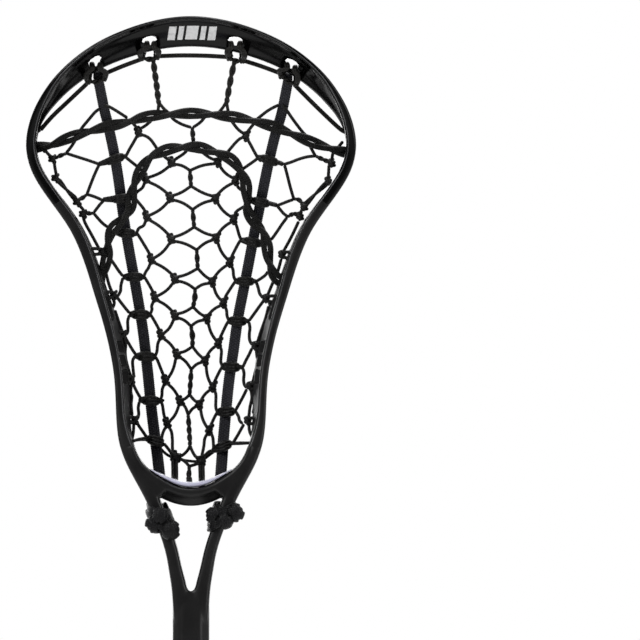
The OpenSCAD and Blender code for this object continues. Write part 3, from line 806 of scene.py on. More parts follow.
# centre links: two strands laid round each other
for k, (a, b) in enumerate(LINK):
    m = ((a[0] + b[0]) / 2 + (0.8 if k in (4, 5) else 0), (a[1] + b[1]) / 2)
    long = abs(b[1] - a[1]) > 23
    net.twist([W(a), W(m), W(b)], R, 0.74 if k in (4, 5) else 0.58, (17 if long else 20) * U * 0.95, phase=0.35)

def bow(a, c, m):
    a, c, m = np.array(a[:2], float), np.array(c[:2], float), np.array(m, float)
    v = c - a
    net.tube([W(a), W(a + v * .3 + m * .8), W(a + v * .5 + m), W(a + v * .7 + m * .8), W(c)], R)


# cells: centre link ends to inner knots
for k in range(7):
    a = LINK[k][1]
    if k == 0:
        net.tube([W(a), W((189.5, 146)), W((184, 152.5)), W((177.5, 157)), W((IL[0][0] + 2, IL[0][1] - 1.5))], R)
        net.tube([W(a), W((197, 146)), W((203, 152.5)), W((210, 157.5)), W((IR[0][0] - 2, IR[0][1] - 1.5))], R)
    else:
        bow(a, (IL[k][0] + 1.5, IL[k][1] - 1.6), (-0.3, 1.5))
        bow(a, (IR[k][0] - 1.5, IR[k][1] - 1.6), (0.3, 1.5))
    t = LINK[k + 1][0]
    bow((IL[k][0] + 1.5, IL[k][1] + 2.0), t, (0.5, -1.6))
    bow((IR[k][0] - 1.5, IR[k][1] + 2.0), t, (-0.5, -1.6))
a, t = LINK[7][1], LINK[8][0]
net.tube([W(a), W((186.5, 451.5)), W((181.5, 456)), W((176, 457.5))], R)
net.tube([W(a), W((191.5, 451.5)), W((194.5, 456.5)), W((198, 459.5))], R)
net.tube([W((176, 459)), W((181, 460)), W((185.5, 463.2)), W(t)], R)
net.tube([W((199, 463.5)), W((194.5, 465.2)), W((191, 466.2)), W(t)], R)

# inner knots to outer knots
for k in range(7):
    up_l, dn_l = OL[k], OL[k + 1]
    up_r, dn_r = OR[k], OR[k + 1]
    if k == 0:
        net.tube([W((139.5, 134)), W((145, 135.5)), W((150.5, 139.5)), W((158, 150)), W((165, 157)), W((IL[0][0] - 1, IL[0][1] - 1.5))], R)
        net.tube([W((244, 136.8)), W((240, 138)), W((235, 142.5)), W((228.5, 150)), W((222, 156)), W((IR[0][0] + 1, IR[0][1] - 1.5))], R)
    else:
        bow((up_l[0] + 1, up_l[1] + 2.6), (IL[k][0] - 1, IL[k][1] - 2.5), (0.8, -1.2))
        bow((up_r[0] - 1, up_r[1] + 2.6), (IR[k][0] + 1, IR[k][1] - 2.5), (-0.8, -1.2))
    bow((IL[k][0] - 1, IL[k][1] + 3), (dn_l[0] + 1.5, dn_l[1] - 0.6), (1.3, 1.3))
    bow((IR[k][0] + 1, IR[k][1] + 3), (dn_r[0] - 1.5, dn_r[1] - 0.8), (-1.3, 1.3))
# last cells down to the two bottom knots
net.tube([W((167.5, 427)), W((170.5, 432)), W((171.6, 440)), W((171.8, 449)), W((173, 455))], R)
net.tube([W((165, 427.5)), W((162.2, 433)), W((160.8, 440)), W((161.5, 444))], R)
net.tube([W((163, 444)), W((166, 447.5)), W((169.5, 452)), W((172, 455.5))], R)
net.tube([W((207.5, 433)), W((204.2, 439)), W((203.2, 447)), W((201.2, 457))], R)
net.tube([W((210, 433)), W((212.2, 438)), W((212.9, 445)), W((213.2, 450))], R)
net.tube([W((202, 459)), W((205, 455.5)), W((209.2, 451.8)), W((213, 451.5))], R)

# outer knots to the wraps on the runners
for k in range(8):
    c = OL[k]
    if k > 0:
        p = WL[k - 1][1]
        net.tube([W((p[0] - 1, p[1])), W((p[0] + 1.2, p[1] + 3)), W((c[0] - 3, c[1] - 7.5)), W((c[0] - 1, c[1] - 3))], R)
    if k < 7:
        p = WL[k][1]
        if k == 0:
            net.tube([W((136.8, 135)), W((133.5, 141)), W((129, 148.5)), W((125.5, 155)), W((122, 158))], R)
        else:
            net.tube([W((c[0] - 1, c[1] + 3.4)), W((c[0] - 3.2, c[1] + 9)), W((p[0] + 0.8, p[1] - 5)), W((p[0] - 1.5, p[1] + 0.4))], R)
    c = OR[k]
    if k > 0:
        p = WR[k - 1][0]
        net.tube([W((p[0] + 1, p[1])), W((p[0] - 1.2, p[1] + 3)), W((c[0] + 3, c[1] - 7.5)), W((c[0] + 1, c[1] - 3))], R)
    if k < 7:
        p = WR[k][0]
        if k == 0:
            net.tube([W((247, 138.5)), W((250, 143.5)), W((254, 151)), W((257.5, 157)), W((261, 161))], R)
        else:
            net.tube([W((c[0] + 1, c[1] + 3.4)), W((c[0] + 3, c[1] + 8.5)), W((p[0] - 0.8, p[1] - 5)), W((p[0] + 1.5, p[1] + 0.4))], R)
net.tube([W((163, 400.5)), W((160, 401.5)), W((158, 401))], R)
# first row up to the upper shooting string
net.tube([W((137, 128)), W((134, 124.5)), W((130, 119.5))], R)
net.tube([W((139.3, 128.5)), W((144.5, 125.5)), W((150, 121)), W((153, 117))], R)
net.tube([W((229, 117)), W((232, 121.5)), W((238, 129)), W((244, 133.5))], R)
net.tube([W((247, 131.5)), W((251.5, 126)), W((257, 119))], R)
net.tube([W((170, 115)), W((174, 119.5)), W((182, 124)), W((191, 127))], R)
net.tube([W((205, 116)), W((201, 121)), W((196.5, 124.5)), W((192.5, 127))], R)


# wraps round the runners
def wrap(batch, L, Rr, cx, half=5.9, fat=1.0, flip=1):
    """Cord taken twice round the woven runner and out to both sides."""
    cy = (L[1] + Rr[1]) / 2
    sl = (Rr[1] - L[1]) / (Rr[0] - L[0])

    def Q(x, dy, dep):
        return W((x, L[1] + (x - L[0]) * sl + dy * flip, dep), 0.6)
    hw = half
    k = fat
    F, Bk = -2.1, 5.9      # front and back of the runner
    r2 = R * 1.32
    batch.tube([Q(L[0], 0, 0), Q(cx - hw - 1.2, -1.2 * k, F * .5), Q(cx - hw * .5, -2.1 * k, F), Q(cx, -2.6 * k, F - .3), Q(cx + hw * .6, -2.2 * k, F),
                Q(cx + hw + 1.0, -1.4 * k, 1.2), Q(cx + hw * .5, -.6 * k, Bk), Q(cx, 0, Bk + .3), Q(cx - hw * .5, .4 * k, Bk),
                Q(cx - hw - 1.0, .4 * k, 1.4), Q(cx - hw * .6, .2 * k, F), Q(cx, 0, F - .5), Q(cx + hw * .6, .1 * k, F), Q(cx + hw + 1.2, .4 * k, 0),
                Q(Rr[0], 0, 0)], r2, ds=0.45)
    batch.tube([Q(L[0], .3, .4), Q(cx - hw - 1.2, 1.4 * k, .8), Q(cx - hw * .5, 1.6 * k, Bk), Q(cx, 1.6 * k, Bk + .3), Q(cx + hw * .5, 1.6 * k, Bk),
                Q(cx + hw + .8, 1.9 * k, 1.2), Q(cx + hw * .6, 2.6 * k, F), Q(cx, 2.8 * k, F - .4), Q(cx - hw * .6, 2.5 * k, F),
                Q(cx - hw - .6, 1.9 * k, 1.2), Q(cx - hw * .3, .8 * k, Bk), Q(cx + hw * .6, .2 * k, Bk), Q(cx + hw + 1.4, .9 * k, 1.0),
                Q(Rr[0], .3, .4)], r2, ds=0.45)


run_x_l = lambda y: float(np.interp(y, [p[1] for p in RUN_L], [p[0] for p in RUN_L]))
run_x_r = lambda y: float(np.interp(y, [p[1] for p in RUN_R], [p[0] for p in RUN_R]))
for k, (a, b) in enumerate(WL):
    wrap(net, a, b, run_x_l((a[1] + b[1]) / 2), fat=1.25 if k > 3 else 1.1)
for k, (a, b) in enumerate(WR):
    wrap(net, a, b, run_x_r((a[1] + b[1]) / 2), fat=1.25 if k > 3 else 1.1, flip=-1)

# outer cells, from the wraps to the side walls
OUT_L = [
    [(100, 108, 1), (95, 111.5), (88, 119.5), (81, 128), (77, 135, 1), (74, 141), (70, 147), (65.5, 152.5)],
    [(104, 105, -1), (109, 106.5, -1.5), (114.5, 109.5), (120, 113), (127, 117.5)],
    [(66, 153), (77, 156.5), (88, 160), (98, 163.5)],
    [(98.5, 164), (94, 173.5), (90, 183.5), (86, 194)],
    [(86, 194), (91, 195.3), (97, 197.6), (102, 200)],
    [(93, 212), (96, 208), (99.5, 203.5), (103, 200)],
    [(93, 213), (98, 219), (103, 224), (109, 228)],
    [(108, 254), (110, 259), (114, 265), (118, 271), (122, 276)],
    [(122, 277.5), (120, 285), (119.5, 291), (116.5, 296.5)],
    [(115, 295.5), (119, 301), (124, 307.5), (128.5, 313)],
    [(128.5, 315), (126.8, 321), (127, 329), (126.3, 333.4), (123, 335)],
    [(123.5, 336), (127, 342), (131, 349), (135, 355)],
    [(134.5, 356), (131.8, 361), (132.3, 370), (132.8, 376), (131, 379.5)],
    [(131.2, 381), (133.5, 387), (136.5, 393), (140, 399)],
    [(138.6, 402), (137.4, 408), (137.9, 414), (137, 418.5), (135, 420)],
    [(135.4, 421.7), (138.5, 427), (142, 432), (146, 438)],
    [(131.8, 441.8), (138, 439.8), (145, 438.8), (150, 439.5)]]
OUT_R = [
    [(279, 104.5, 1), (273.5, 107), (267, 110.8), (261.5, 115), (256.5, 119)],
    [(282.5, 104.5, 1), (286, 109), (291.5, 117), (297, 124.5), (302.5, 131.5), (307, 136)],
    [(283.3, 164), (290, 162), (299, 158.6), (307, 156.4), (315.5, 155.5)],
    [(309, 144), (311, 147.5), (313.4, 152), (315.5, 155.5)],
    [(284.4, 164.6), (287, 174), (290, 186), (293.5, 198)],
    [(277, 205), (282.5, 203), (288, 200.8), (293.5, 199)],
    [(277, 205.5), (280, 209), (283.4, 213), (288, 216.5)],
    [(287, 217), (282.4, 223), (277, 231), (271, 239.5)],
    [(268, 271), (265, 275), (261, 278), (256, 281.2)],
    [(256, 282), (258, 288), (259.4, 293.5), (263, 298)],
    [(263.5, 300.5), (259, 306.5), (254, 313.5), (248.5, 321)],
    [(248.6, 322), (249.6, 328), (249.0, 334), (249.4, 340.5), (252, 345)],
    [(251.6, 348.4), (248.6, 355), (245.4, 361), (242.4, 367.5)],
    [(242.6, 368.5), (243.7, 374), (243.2, 380), (244, 385), (246.4, 388)],
    [(246.4, 389.5), (243, 396.5), (239.2, 403.5), (235, 411)],
    [(235.4, 412), (238.2, 417), (239.2, 421), (242, 424)],
    [(243.6, 424.5), (240, 431), (236, 438), (232, 444.5)],
    [(226, 445.5), (232, 444.3), (241, 443.9), (250.6, 443.2)]]
for p in OUT_L + OUT_R:
    net.tube(route(p), R)
for p in ([(54.5, 158), (60, 155), (66, 153)], [(77, 200), (81.5, 197.5), (86, 194)], [(83, 211), (88, 213), (93, 212.5)]):
    net.twist(route(p), R * .9, 0.55, 5.5)
for p in ([(315.5, 155.5), (323, 159), (331.5, 162.5)], [(293.5, 198.5), (299, 199.5), (303, 204.5)], [(287.5, 216.5), (293.5, 213.5), (300, 215)]):
    net.twist(route(p), R * .9, 0.55, 5.5)
put(net, "net_cord", M_cord, "cross_lacing")


# shooting strings: two flat laces woven past each other
def lace_pair(name, node, pts, phase0, half_wave, amp=1.35, wid=3.6, th=1.8, off=-2.8):
    b = Batch()
    q, s = resample(catmull([W(p, off) for p in pts]), 0.5)
    t, sv, uv = frames(q)
    n = max(1, round(s[-1] / (half_wave * U)))
    ang = phase0 + np.pi * n * s / s[-1]
    for sg in (1, -1):
        c = q + sv * (sg * amp * np.cos(ang))[:, None] + uv * (sg * 0.75 * np.sin(ang))[:, None]
        b.strap(c, wid, th, ds=0.4, rib=0.012, rib_pitch=1.5, smooth=False,
                roll=list(sg * 0.5 * np.sin(ang[::8])))
    return put(b, name, M_lace, node)


UP = [(35.5, 147, 3.5), (42.5, 146, 1), (52, 144.5), (65, 138.8), (79, 133.8), (93, 130), (107, 126), (120, 123.6), (132, 120.5), (142, 117.2), (155, 115),
      (172, 114), (190, 113), (205, 113.6), (218, 115), (237, 117), (256.5, 121.5), (275.7, 127), (295, 135), (314, 142.5),
      (333, 149), (346, 152, 1), (352.5, 153, 3.5)]
LOW = [(99.5, 282, 5), (102.5, 273, 2.5), (104.5, 264), (107, 252), (107.5, 241), (111.5, 229), (121, 219.5), (129.5, 208.5), (131, 194), (135, 180.5), (141.5, 167.5),
       (150, 157), (160, 151.8), (172, 148), (190, 146.5), (200, 147.2), (210, 150), (221, 154), (231, 159), (239, 168), (244.8, 179.5),
       (246.6, 195), (247.6, 210), (254, 221.5), (262.5, 231), (266.5, 244), (268.5, 259), (273, 273, 1), (279, 280, 3), (285, 284, 5)]
lace_pair("shooting_lace_upper", "shooting_string_upper", UP, 0.3, 42, amp=1.64, wid=3.05, th=2.1)
lace_pair("shooting_lace_lower", "shooting_string_lower", LOW, 0.9, 34, amp=1.70, wid=3.15, th=2.1)

# side wall strings: cord tied off at each cell and passed through the rail's holes
SW = {
    "left": ([[(41, 143), (43, 147.5), (47, 153), (53, 158.5)], [(53.4, 158.5), (54, 166), (56, 177)], [(77, 203), (80, 206.5), (83, 210)],
              [(82, 214), (84, 222), (91, 235), (98, 248)], [(101, 254), (104, 268), (108, 284), (112, 294)],
              [(111, 297), (113.4, 302), (112.6, 306), (110.6, 309.5)], [(114, 310), (118, 322), (121.6, 332)],
              [(123, 338), (124.8, 345), (124.4, 352), (125.2, 360), (128.4, 372), (130.6, 378)],
              [(130.5, 384), (130, 392), (131, 397), (130.4, 405), (131.4, 416)], [(133, 424), (132.6, 433), (131.2, 440)]],
             [((56, 178), (66, 189.5), (76, 200)), ((76, 200), (78, 202), (80, 205))],
             [(42, 147), (51.5, 158.5), (54.5, 177.5), (76, 201.5), (82, 213.5), (101, 251), (112.6, 294.5), (122, 334.5), (130.5, 379.5), (134, 420)],
             (-1, "sidewall_string_left")),
    "right": ([[(343, 141), (338, 147), (333, 153), (331.8, 162)], [(329, 164.5), (328.6, 172), (328, 180)], [(303, 207), (301, 211), (299.6, 215)],
               [(298.6, 221), (291, 237), (283.3, 251)], [(281, 259), (277, 273), (272, 284), (267, 296)],
               [(268.5, 299.5), (269.8, 305), (271.5, 307.5), (275, 306)], [(268.4, 306), (265.4, 318), (260.5, 332), (257, 343)],
               [(256, 350), (257, 358), (258.5, 362), (256.8, 368)], [(256.8, 365), (254.6, 374), (252.4, 383)],
               [(250.6, 390), (251.6, 398), (249.6, 408), (248.6, 417)], [(254, 391), (252.6, 399), (254, 406), (252.8, 414)],
               [(248.6, 425), (249.4, 432), (252.4, 438.5)], [(253, 423), (253.4, 430), (252.6, 436)]],
              [((328, 181.6), (316, 193), (303.7, 206))],
              [(331.8, 162.5), (328.4, 180.5), (304.2, 206), (300, 215.8), (282, 254.5), (266, 298.5), (255, 346), (250, 386.4), (247.6, 421)],
              (1, "sidewall_string_right"))}
for side in ("left", "right"):
    lines, pairs, knots, (sg, node) = SW[side]
    b = Batch()
    for p in lines:
        b.tube(route(p), R * 1.0)
    for p in pairs:
        b.twist(route(p), R * .95, 0.78, 26)
    for k, c in enumerate(knots):
        knot(b, c, w=2.7, h=3.4, r=1.05, hand=sg, turns=2.2)
        if c[1] > 240:
            # two turns out to the rail and through its hole
            rail = look((c[1] - 15) * U, [(p[1], p[0]) for p in RIM[:20][::-1]])
            d = (c[1] - 15) * U
            ex = look((c[1] - 15) * U, INNER)
            for dz in (-1.2, 1.4):
                x0 = (c[0] - 191) * U
                b.tube([np.array([x0, pocket_y(x0, d) - 0.8, TOP - d - dz]), np.array([sg * (ex + 0.8), look(d, EDGE) - 2.2, TOP - d - dz * 1.2]),
                        np.array([sg * (ex + 3.0), look(d, EDGE) - 0.4, TOP - d - dz * .4]), np.array([sg * (ex + 1.6), look(d, EDGE) + 1.6, TOP - d])], R * 1.05)
    put(b, "sidewall_cord_" + side, M_cord, node)


# top string and the loops that hang it on the scoop
def TE(px, py, off=0.0):
    d = (py - 15) * U
    return A(px, py, look(d, EDGE) - 1.4 + off)


b = Batch()
for seg in ([(40, 129.5), (52, 116), (69, 100), (87, 83.2)], [(103, 74.2), (122, 66.2), (143, 58.4)], [(159.5, 56), (180, 55.3), (205, 55.6), (227, 56.8)],
            [(243.8, 60.5), (261, 66), (280, 73)], [(294.5, 84.6), (317, 107), (339.4, 128), (346, 131.5)]):
    q, s_ = resample(catmull([TE(*p) for p in seg]), 0.5)
    t_, sv_, uv_ = frames(q)
    for sg in (1, -1):
        b.tube(q + sv_ * sg * 0.52 + uv_ * (sg * 0.16 * np.sin(s_ * 0.35))[:, None], 0.68, smooth=False)
# the cord turns out through the rail at each side
for sg, e in ((-1, (40, 129.5)), (1, (346, 131.5))):
    x, y, z = TE(*e)
    b.tube([TE(*e), np.array([x + sg * 2.0, y + 0.3, z - 1.2]), np.array([x + sg * 4.2, y + 0.6, z - 1.8])], 0.85)
# loops through the scoop slots
LOOPS = [((95, 62), (88, 81), (104, 78), (91.5, 67), (100.5, 67)), ((149.5, 41), (141.5, 57.5), (157, 56.5), (146.5, 46), (154.5, 46)),
         ((235.3, 41), (229.5, 57.5), (242.5, 60), (230.5, 46), (240.5, 46)), ((291.6, 64), (281.5, 75.5), (296, 83.5), (286.5, 67), (295.5, 70))]
for c, l, r, tl, tr in LOOPS:
    for lo, hi in ((l, tl), (r, tr)):
        dn = (hi[1] - 15) * U
        yf = look(dn, [(0, -7), (12, -5), (30, -1), (45, 3)])
        yb = yf + 11
        mid = ((lo[0] + hi[0]) / 2, (lo[1] + hi[1]) / 2)
        ux, uy = (hi[0] - (tl[0] + tr[0]) / 2), (hi[1] - (tl[1] + tr[1]) / 2)
        bul = 0.42
        for sh in (-1.1, 1.1):
            b.tube([TE(lo[0] + sh, lo[1] + 1.2, 1.5), A(lo[0] + ux * bul + sh, lo[1] + uy * bul - 4.2, yf + 1.6), A(mid[0] + ux * bul + sh, mid[1] - 1.5, yf + 0.2),
                    A(hi[0] + sh - ux * .15, hi[1] + 1.4, yf - 0.5), A(hi[0] + sh * .8 - ux * .1, hi[1] - 3.0, yf + 2.0),
                    A(hi[0] + sh * .5, hi[1] - 2.8, yb - 1.5), A(mid[0] + sh * .6, mid[1], yb - 1.0), TE(lo[0] + sh, lo[1], 2.4)], 0.98)
    # bindings where the loops meet the top string
    for q in (l, r):
        knot_c = TE(*q, off=-0.8)
        tt = np.linspace(0, 1, 30)
        aa = 2 * np.pi * 2.2 * tt
        b.tube(knot_c + np.c_[(5.0 * (tt - .5)), 2.4 * np.sin(aa), 2.3 * np.cos(aa)] * U, 0.82, smooth=False, ds=0.4)
    b.twist([TE(*l, off=-.6), TE((l[0] + r[0]) / 2, (l[1] + r[1]) / 2 + 2.2, -.8), TE(*r, off=-.6)], 0.8, 0.8, 9)
put(b, "top_cord", M_cord_top, "top_string")

for side, pts, fork in (("left", [(153, 58.5), (154.6, 72), (156.6, 86), (158.6, 104)], ((157.4, 112.5), (168, 112))),
                        ("right", [(234.8, 60), (231.4, 75), (229, 88), (226.4, 103)], ((218.5, 112), (228.5, 113)))):
    b = Batch()
    b.twist([W(p, -0.8) for p in pts], 0.98, 0.78, 11.4, phase=0.2)
    for f in fork:
        m = ((pts[-1][0] + f[0]) / 2, (pts[-1][1] + f[1]) / 2)
        b.tube([W((pts[-1][0], pts[-1][1] - 2), -0.8), W(m, -0.9), W(f, -1.4)], R)
    put(b, "hanger_cord_" + side, M_cord_top, "top_hanger_" + side)

# bottom cord, behind the last cells, and the ties over the ball stop
b = Batch()
b.tube(route([(132, 441, 2.6), (146, 440.5, 3.2), (156, 446, 3.4), (166, 455, 2.4), (175, 459, 1.6), (188, 461.5, 1.4), (200, 461.5, 1.6), (211, 454, 2.4),
              (222, 446.5, 3.2), (236, 443.5, 3.2), (250, 443.4, 2.6)]), R * .9)
put(b, "bottom_cord", M_cord, "bottom_string")
for name, xs, y0 in (("stop_tie_left", (172.1, 175.6), 461), ("stop_tie_centre", (187.2, 189.6), 478), ("stop_tie_right", (199.4, 202.4), 466)):
    b = Batch()
    for k, x in enumerate(xs):
        ye = 481.5 - 0.012 * (x - 191) ** 2
        b.tube([W((x, y0), -0.4), W((x + .3, (y0 + ye) / 2), -1.0), W((x + .4, ye - 1), -1.2), A(x + .4, ye + 3.4, 22.6), A(x + .4, ye + 7, 23.6)], R * 1.12)
    put(b, name.replace("stop_tie", "stop_cord"), M_cord, name)


# runner ends knotted round the legs of the throat
def K(px, py, y):
    return A(px, py, y)


def band(batch, pts, c0, c1, w, th, ds=0.4, closed=False):
    """Woven strap laid round an axis, its flat side always facing away from the axis."""
    q = np.array(pts)
    q, s = resample(q, ds)
    t = np.gradient(q, axis=0)
    t /= np.linalg.norm(t, axis=1)[:, None]
    c0, c1 = np.array(c0), np.array(c1)
    ax = (c1 - c0) / (np.linalg.norm(c1 - c0) + 1e-9)
    o = (q - c0) - ((q - c0) @ ax)[:, None] * ax
    o -= (o * t).sum(1)[:, None] * t
    o /= np.linalg.norm(o, axis=1)[:, None]
    sd = np.cross(o, t)
    a = np.linspace(0, 2 * np.pi, 18, endpoint=False)
    ca, sa = np.cos(a), np.sin(a)
    sx, sy = np.sign(ca) * np.abs(ca) ** 0.7, np.sign(sa) * np.abs(sa) ** 0.75
    ribs = 1 + 0.035 * np.cos(2 * np.pi * s / 1.0)
    end = np.clip(np.minimum(s, s[-1] - s) / 1.2 + 0.45, 0, 1)
    Rg = q[:, None] + sd[:, None] * (w / 2 * end[:, None] * ribs[:, None] * sx)[:, :, None] + o[:, None] * (th / 2 * end[:, None] * sy)[:, :, None]
    wv = np.r_[sx, sx[0]] * w / 2
    batch.rings(Rg, np.stack([np.repeat(s[:, None], len(a) + 1, 1), np.repeat(wv[None], len(q), 0)], 2))


def coil(batch, p0, p1, y0, y1, half, turns, w, th, ph=0.0, tilt=0.0):
    """Strap wound round one leg of the throat; y0 and y1 are the front and back of the leg."""
    n = int(90 * turns)
    k = np.linspace(0, 1, n)
    a = ph + 2 * np.pi * turns * k
    ca, sa = np.cos(a), np.sin(a)
    ex = np.sign(ca) * np.abs(ca) ** 0.75 * half
    ey = (y0 + y1) / 2 + np.sign(sa) * np.abs(sa) ** 0.6 * (y1 - y0) / 2
    px = p0[0] + (p1[0] - p0[0]) * k + ex / U
    py = p0[1] + (p1[1] - p0[1]) * k - ex / U * tilt
    pts = [A(x, y, z) for x, y, z in zip(px, py, ey)]
    m = (y0 + y1) / 2
    band(batch, pts, A(p0[0], p0[1], m), A(p1[0], p1[1], m), w, th)


def fist(batch, c, r, w, th, spin=0.0, n=5):
    """Round knot made of straps crossing each other over a small core."""
    c = A(*c)
    rng = np.random.default_rng(int(abs(c[0]) * 1000) % 97 + 3)
    for k in range(n):
        th0 = spin + k * math.pi / n + rng.uniform(-.12, .12)
        lean = (-1) ** k * rng.uniform(0.25, 0.6)
        u = np.array([math.cos(th0), math.sin(th0) * 0.0 + lean * .5, math.sin(th0)])
        u /= np.linalg.norm(u)
        v = np.cross(u, [math.sin(th0) * .3, 0.0, -math.cos(th0) * .3]) * 1.0
        v = np.array([0.0, -1.0, 0.0]) - u * (np.array([0.0, -1.0, 0.0]) @ u)
        v /= np.linalg.norm(v)
        a = np.linspace(-0.15, 2 * np.pi + 0.15, 60)
        rr = r + 0.42 * th * (k % 2)
        pts = c + u * (rr * np.cos(a))[:, None] + v * (rr * 0.9 * np.sin(a))[:, None]
        axis = np.cross(u, v)
        band(batch, pts, c - axis, c + axis, w, th)


b = Batch()
coil(b, (157.0, 509), (165.0, 530), -10.6, 24.5, 5.6, 3.0, 5.0, 2.0, ph=0.5, tilt=0.25)
coil(b, (160.0, 514), (163.5, 528), -12.2, 25.5, 6.4, 1.5, 4.6, 1.9, ph=2.6, tilt=-0.7)
fist(b, (170.8, 529.8, -10.5), 3.9, 4.6, 1.9, 0.4)
fist(b, (154.0, 524.0, -9.2), 3.2, 4.4, 1.8, 1.1)
fist(b, (160.5, 515.5, -11.8), 3.2, 4.4, 1.8, 0.2)
put(b, "throat_wrap_left", M_knot, "throat_knot_left")
b = Batch()
coil(b, (225.5, 506), (219.5, 525), -10.6, 24.5, 5.6, 2.5, 5.0, 2.0, ph=0.7, tilt=-0.25)
coil(b, (224, 509), (220.0, 522), -12.2, 25.5, 6.4, 1.5, 4.6, 1.9, ph=2.2, tilt=0.7)
fist(b, (235.2, 512.5, -10.0), 3.6, 4.5, 1.8, 0.9)
fist(b, (213.5, 515.0, -9.4), 3.1, 4.3, 1.7, 0.3)
fist(b, (225.0, 520.5, -12.0), 3.1, 4.4, 1.8, 1.4)
put(b, "throat_wrap_right", M_knot, "throat_knot_right")

# ------------------------------------------------------------------ handle
AF, FLAT = 22.6, 11.2


def perimeter(a, e, c=0.7, k=5):
    pts = rounded([(e, -a), (a, -e), (a, e), (e, a), (-e, a), (-a, e), (-a, -e), (-e, -a)], c, k)
    return np.array(pts)


PER = perimeter(AF / 2, FLAT / 2)
# start the perimeter at the middle of the front flat
PER = np.vstack([[0, -AF / 2], PER])
PER_S = np.r_[0, np.cumsum(np.linalg.norm(np.diff(np.vstack([PER, PER[:1]]), axis=0), axis=1))]
LOOP = PER_S[-1]


def on_handle(u, off=0.0):
    """Point on the handle's skin u mm round from the middle of the front flat."""
    u = u % LOOP
    i = int(np.searchsorted(PER_S, u, side="right") - 1)
    i = min(i, len(PER) - 1)
    a, c = PER[i], PER[(i + 1) % len(PER)]
    t = (u - PER_S[i]) / max(1e-9, PER_S[i + 1] - PER_S[i])
    p = a + (c - a) * t
    dv = c - a
    n = np.array([dv[1], -dv[0]]) / (np.linalg.norm(dv) + 1e-9)
    return p + n * off


zs = [5.2] + list(np.arange(30, 730, 20.0)) + [734.6, 736.0]
m = len(PER)
V, F, UVc = [], [], []
inner = perimeter(AF / 2 - 2, FLAT / 2 - .8, 0.5, 5)
inner = np.vstack([[0, -(AF / 2 - 2)], inner])
for z in zs:
    for p in PER:
        V.append((p[0], p[1], z))
n_out = len(V)
for z in (zs[0], zs[-1]):
    for p in inner:
        V.append((p[0], p[1], z))
nz = len(zs)
for k in range(nz - 1):
    for i in range(m):
        j = (i + 1) % m
        F.append((k * m + i, k * m + j, (k + 1) * m + j, (k + 1) * m + i))
        u0, u1 = PER_S[i], PER_S[i + 1]
        UVc += [(u0, zs[k]), (u1, zs[k]), (u1, zs[k + 1]), (u0, zs[k + 1])]
ib, it = n_out, n_out + len(inner)
for i in range(m):
    j = (i + 1) % m
    for q in ((j, i, ib + i, ib + j), ((nz - 1) * m + i, (nz - 1) * m + j, it + j, it + i), (ib + j, ib + i, it + i, it + j)):
        F.append(q)
        UVc += [(0, 0)] * 4
me = bpy.data.meshes.new("handle")
me.from_pydata([tuple(np.array(v) * MM) for v in V], [], F)
lay = me.uv_layers.new(name="UVMap")
lay.data.foreach_set("uv", np.array(UVc, float).ravel())
bm = bmesh.new()
bm.from_mesh(me)
bmesh.ops.recalc_face_normals(bm, faces=bm.faces)
bm.to_mesh(me)
bm.free()
handle = bpy.data.objects.new("handle", me)
scene.collection.objects.link(handle)
boolean(handle, [prism("scr2", [(1.81 * math.cos(a), 6, 704 + 1.81 * math.sin(a)) for a in np.linspace(0, 2 * math.pi, 32, endpoint=False)],
                       [(1.81 * math.cos(a), 18, 704 + 1.81 * math.sin(a)) for a in np.linspace(0, 2 * math.pi, 32, endpoint=False)])])
g = Nodes("carbon_weave")
u, v = g.uv()
CEL = 1.0
ui, vi = g.math("FLOOR", g.math("DIVIDE", u, CEL)), g.math("FLOOR", g.math("DIVIDE", v, CEL))
tw = g.math("FLOORED_MODULO", g.math("SUBTRACT", ui, vi), 4.0)
over = g.math("LESS_THAN", tw, 2.0)
fu = g.math("SUBTRACT", g.math("FRACT", g.math("DIVIDE", u, CEL)), 0.5)
fv = g.math("SUBTRACT", g.math("FRACT", g.math("DIVIDE", v, CEL)), 0.5)
cu = g.math("SUBTRACT", 1.0, g.math("MULTIPLY", g.math("MULTIPLY", fu, fu), 3.4))
cv = g.math("SUBTRACT", 1.0, g.math("MULTIPLY", g.math("MULTIPLY", fv, fv), 3.4))
h = g.math("ADD", g.math("MULTIPLY", over, cu), g.math("MULTIPLY", g.math("SUBTRACT", 1.0, over), cv))
o = g.obj()
big = g.noise(45, 3, o)
# the lighter over-lying tows are a painted sheen of the fibres running one way, and h darkens the hollows between tows
# as painted shade; the big noise adds random tone
tone = g.math("ADD", g.math("MULTIPLY", over, 0.42), g.math("MULTIPLY", h, 0.38))
tone = g.math("ADD", tone, g.math("MULTIPLY", big, 0.25))
g.bump(h, 0.55, 0.12)
M_carbon = g.set(Base_Color=g.mix(tone, (0.0045, 0.0043, 0.0050), (0.027, 0.0255, 0.029)), Roughness=g.ramp(big, .3, .7, .34, .46),
                 Specular_IOR_Level=0.5, Coat_Weight=0.35, Coat_Roughness=0.22)
handle.data.materials.clear()
handle.data.materials.append(M_carbon)
handle.data.polygons.foreach_set("use_smooth", [True] * len(handle.data.polygons))
handle.data.set_sharp_from_angle(angle=math.radians(40))
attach(handle, "stick")
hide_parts("handle_tube")


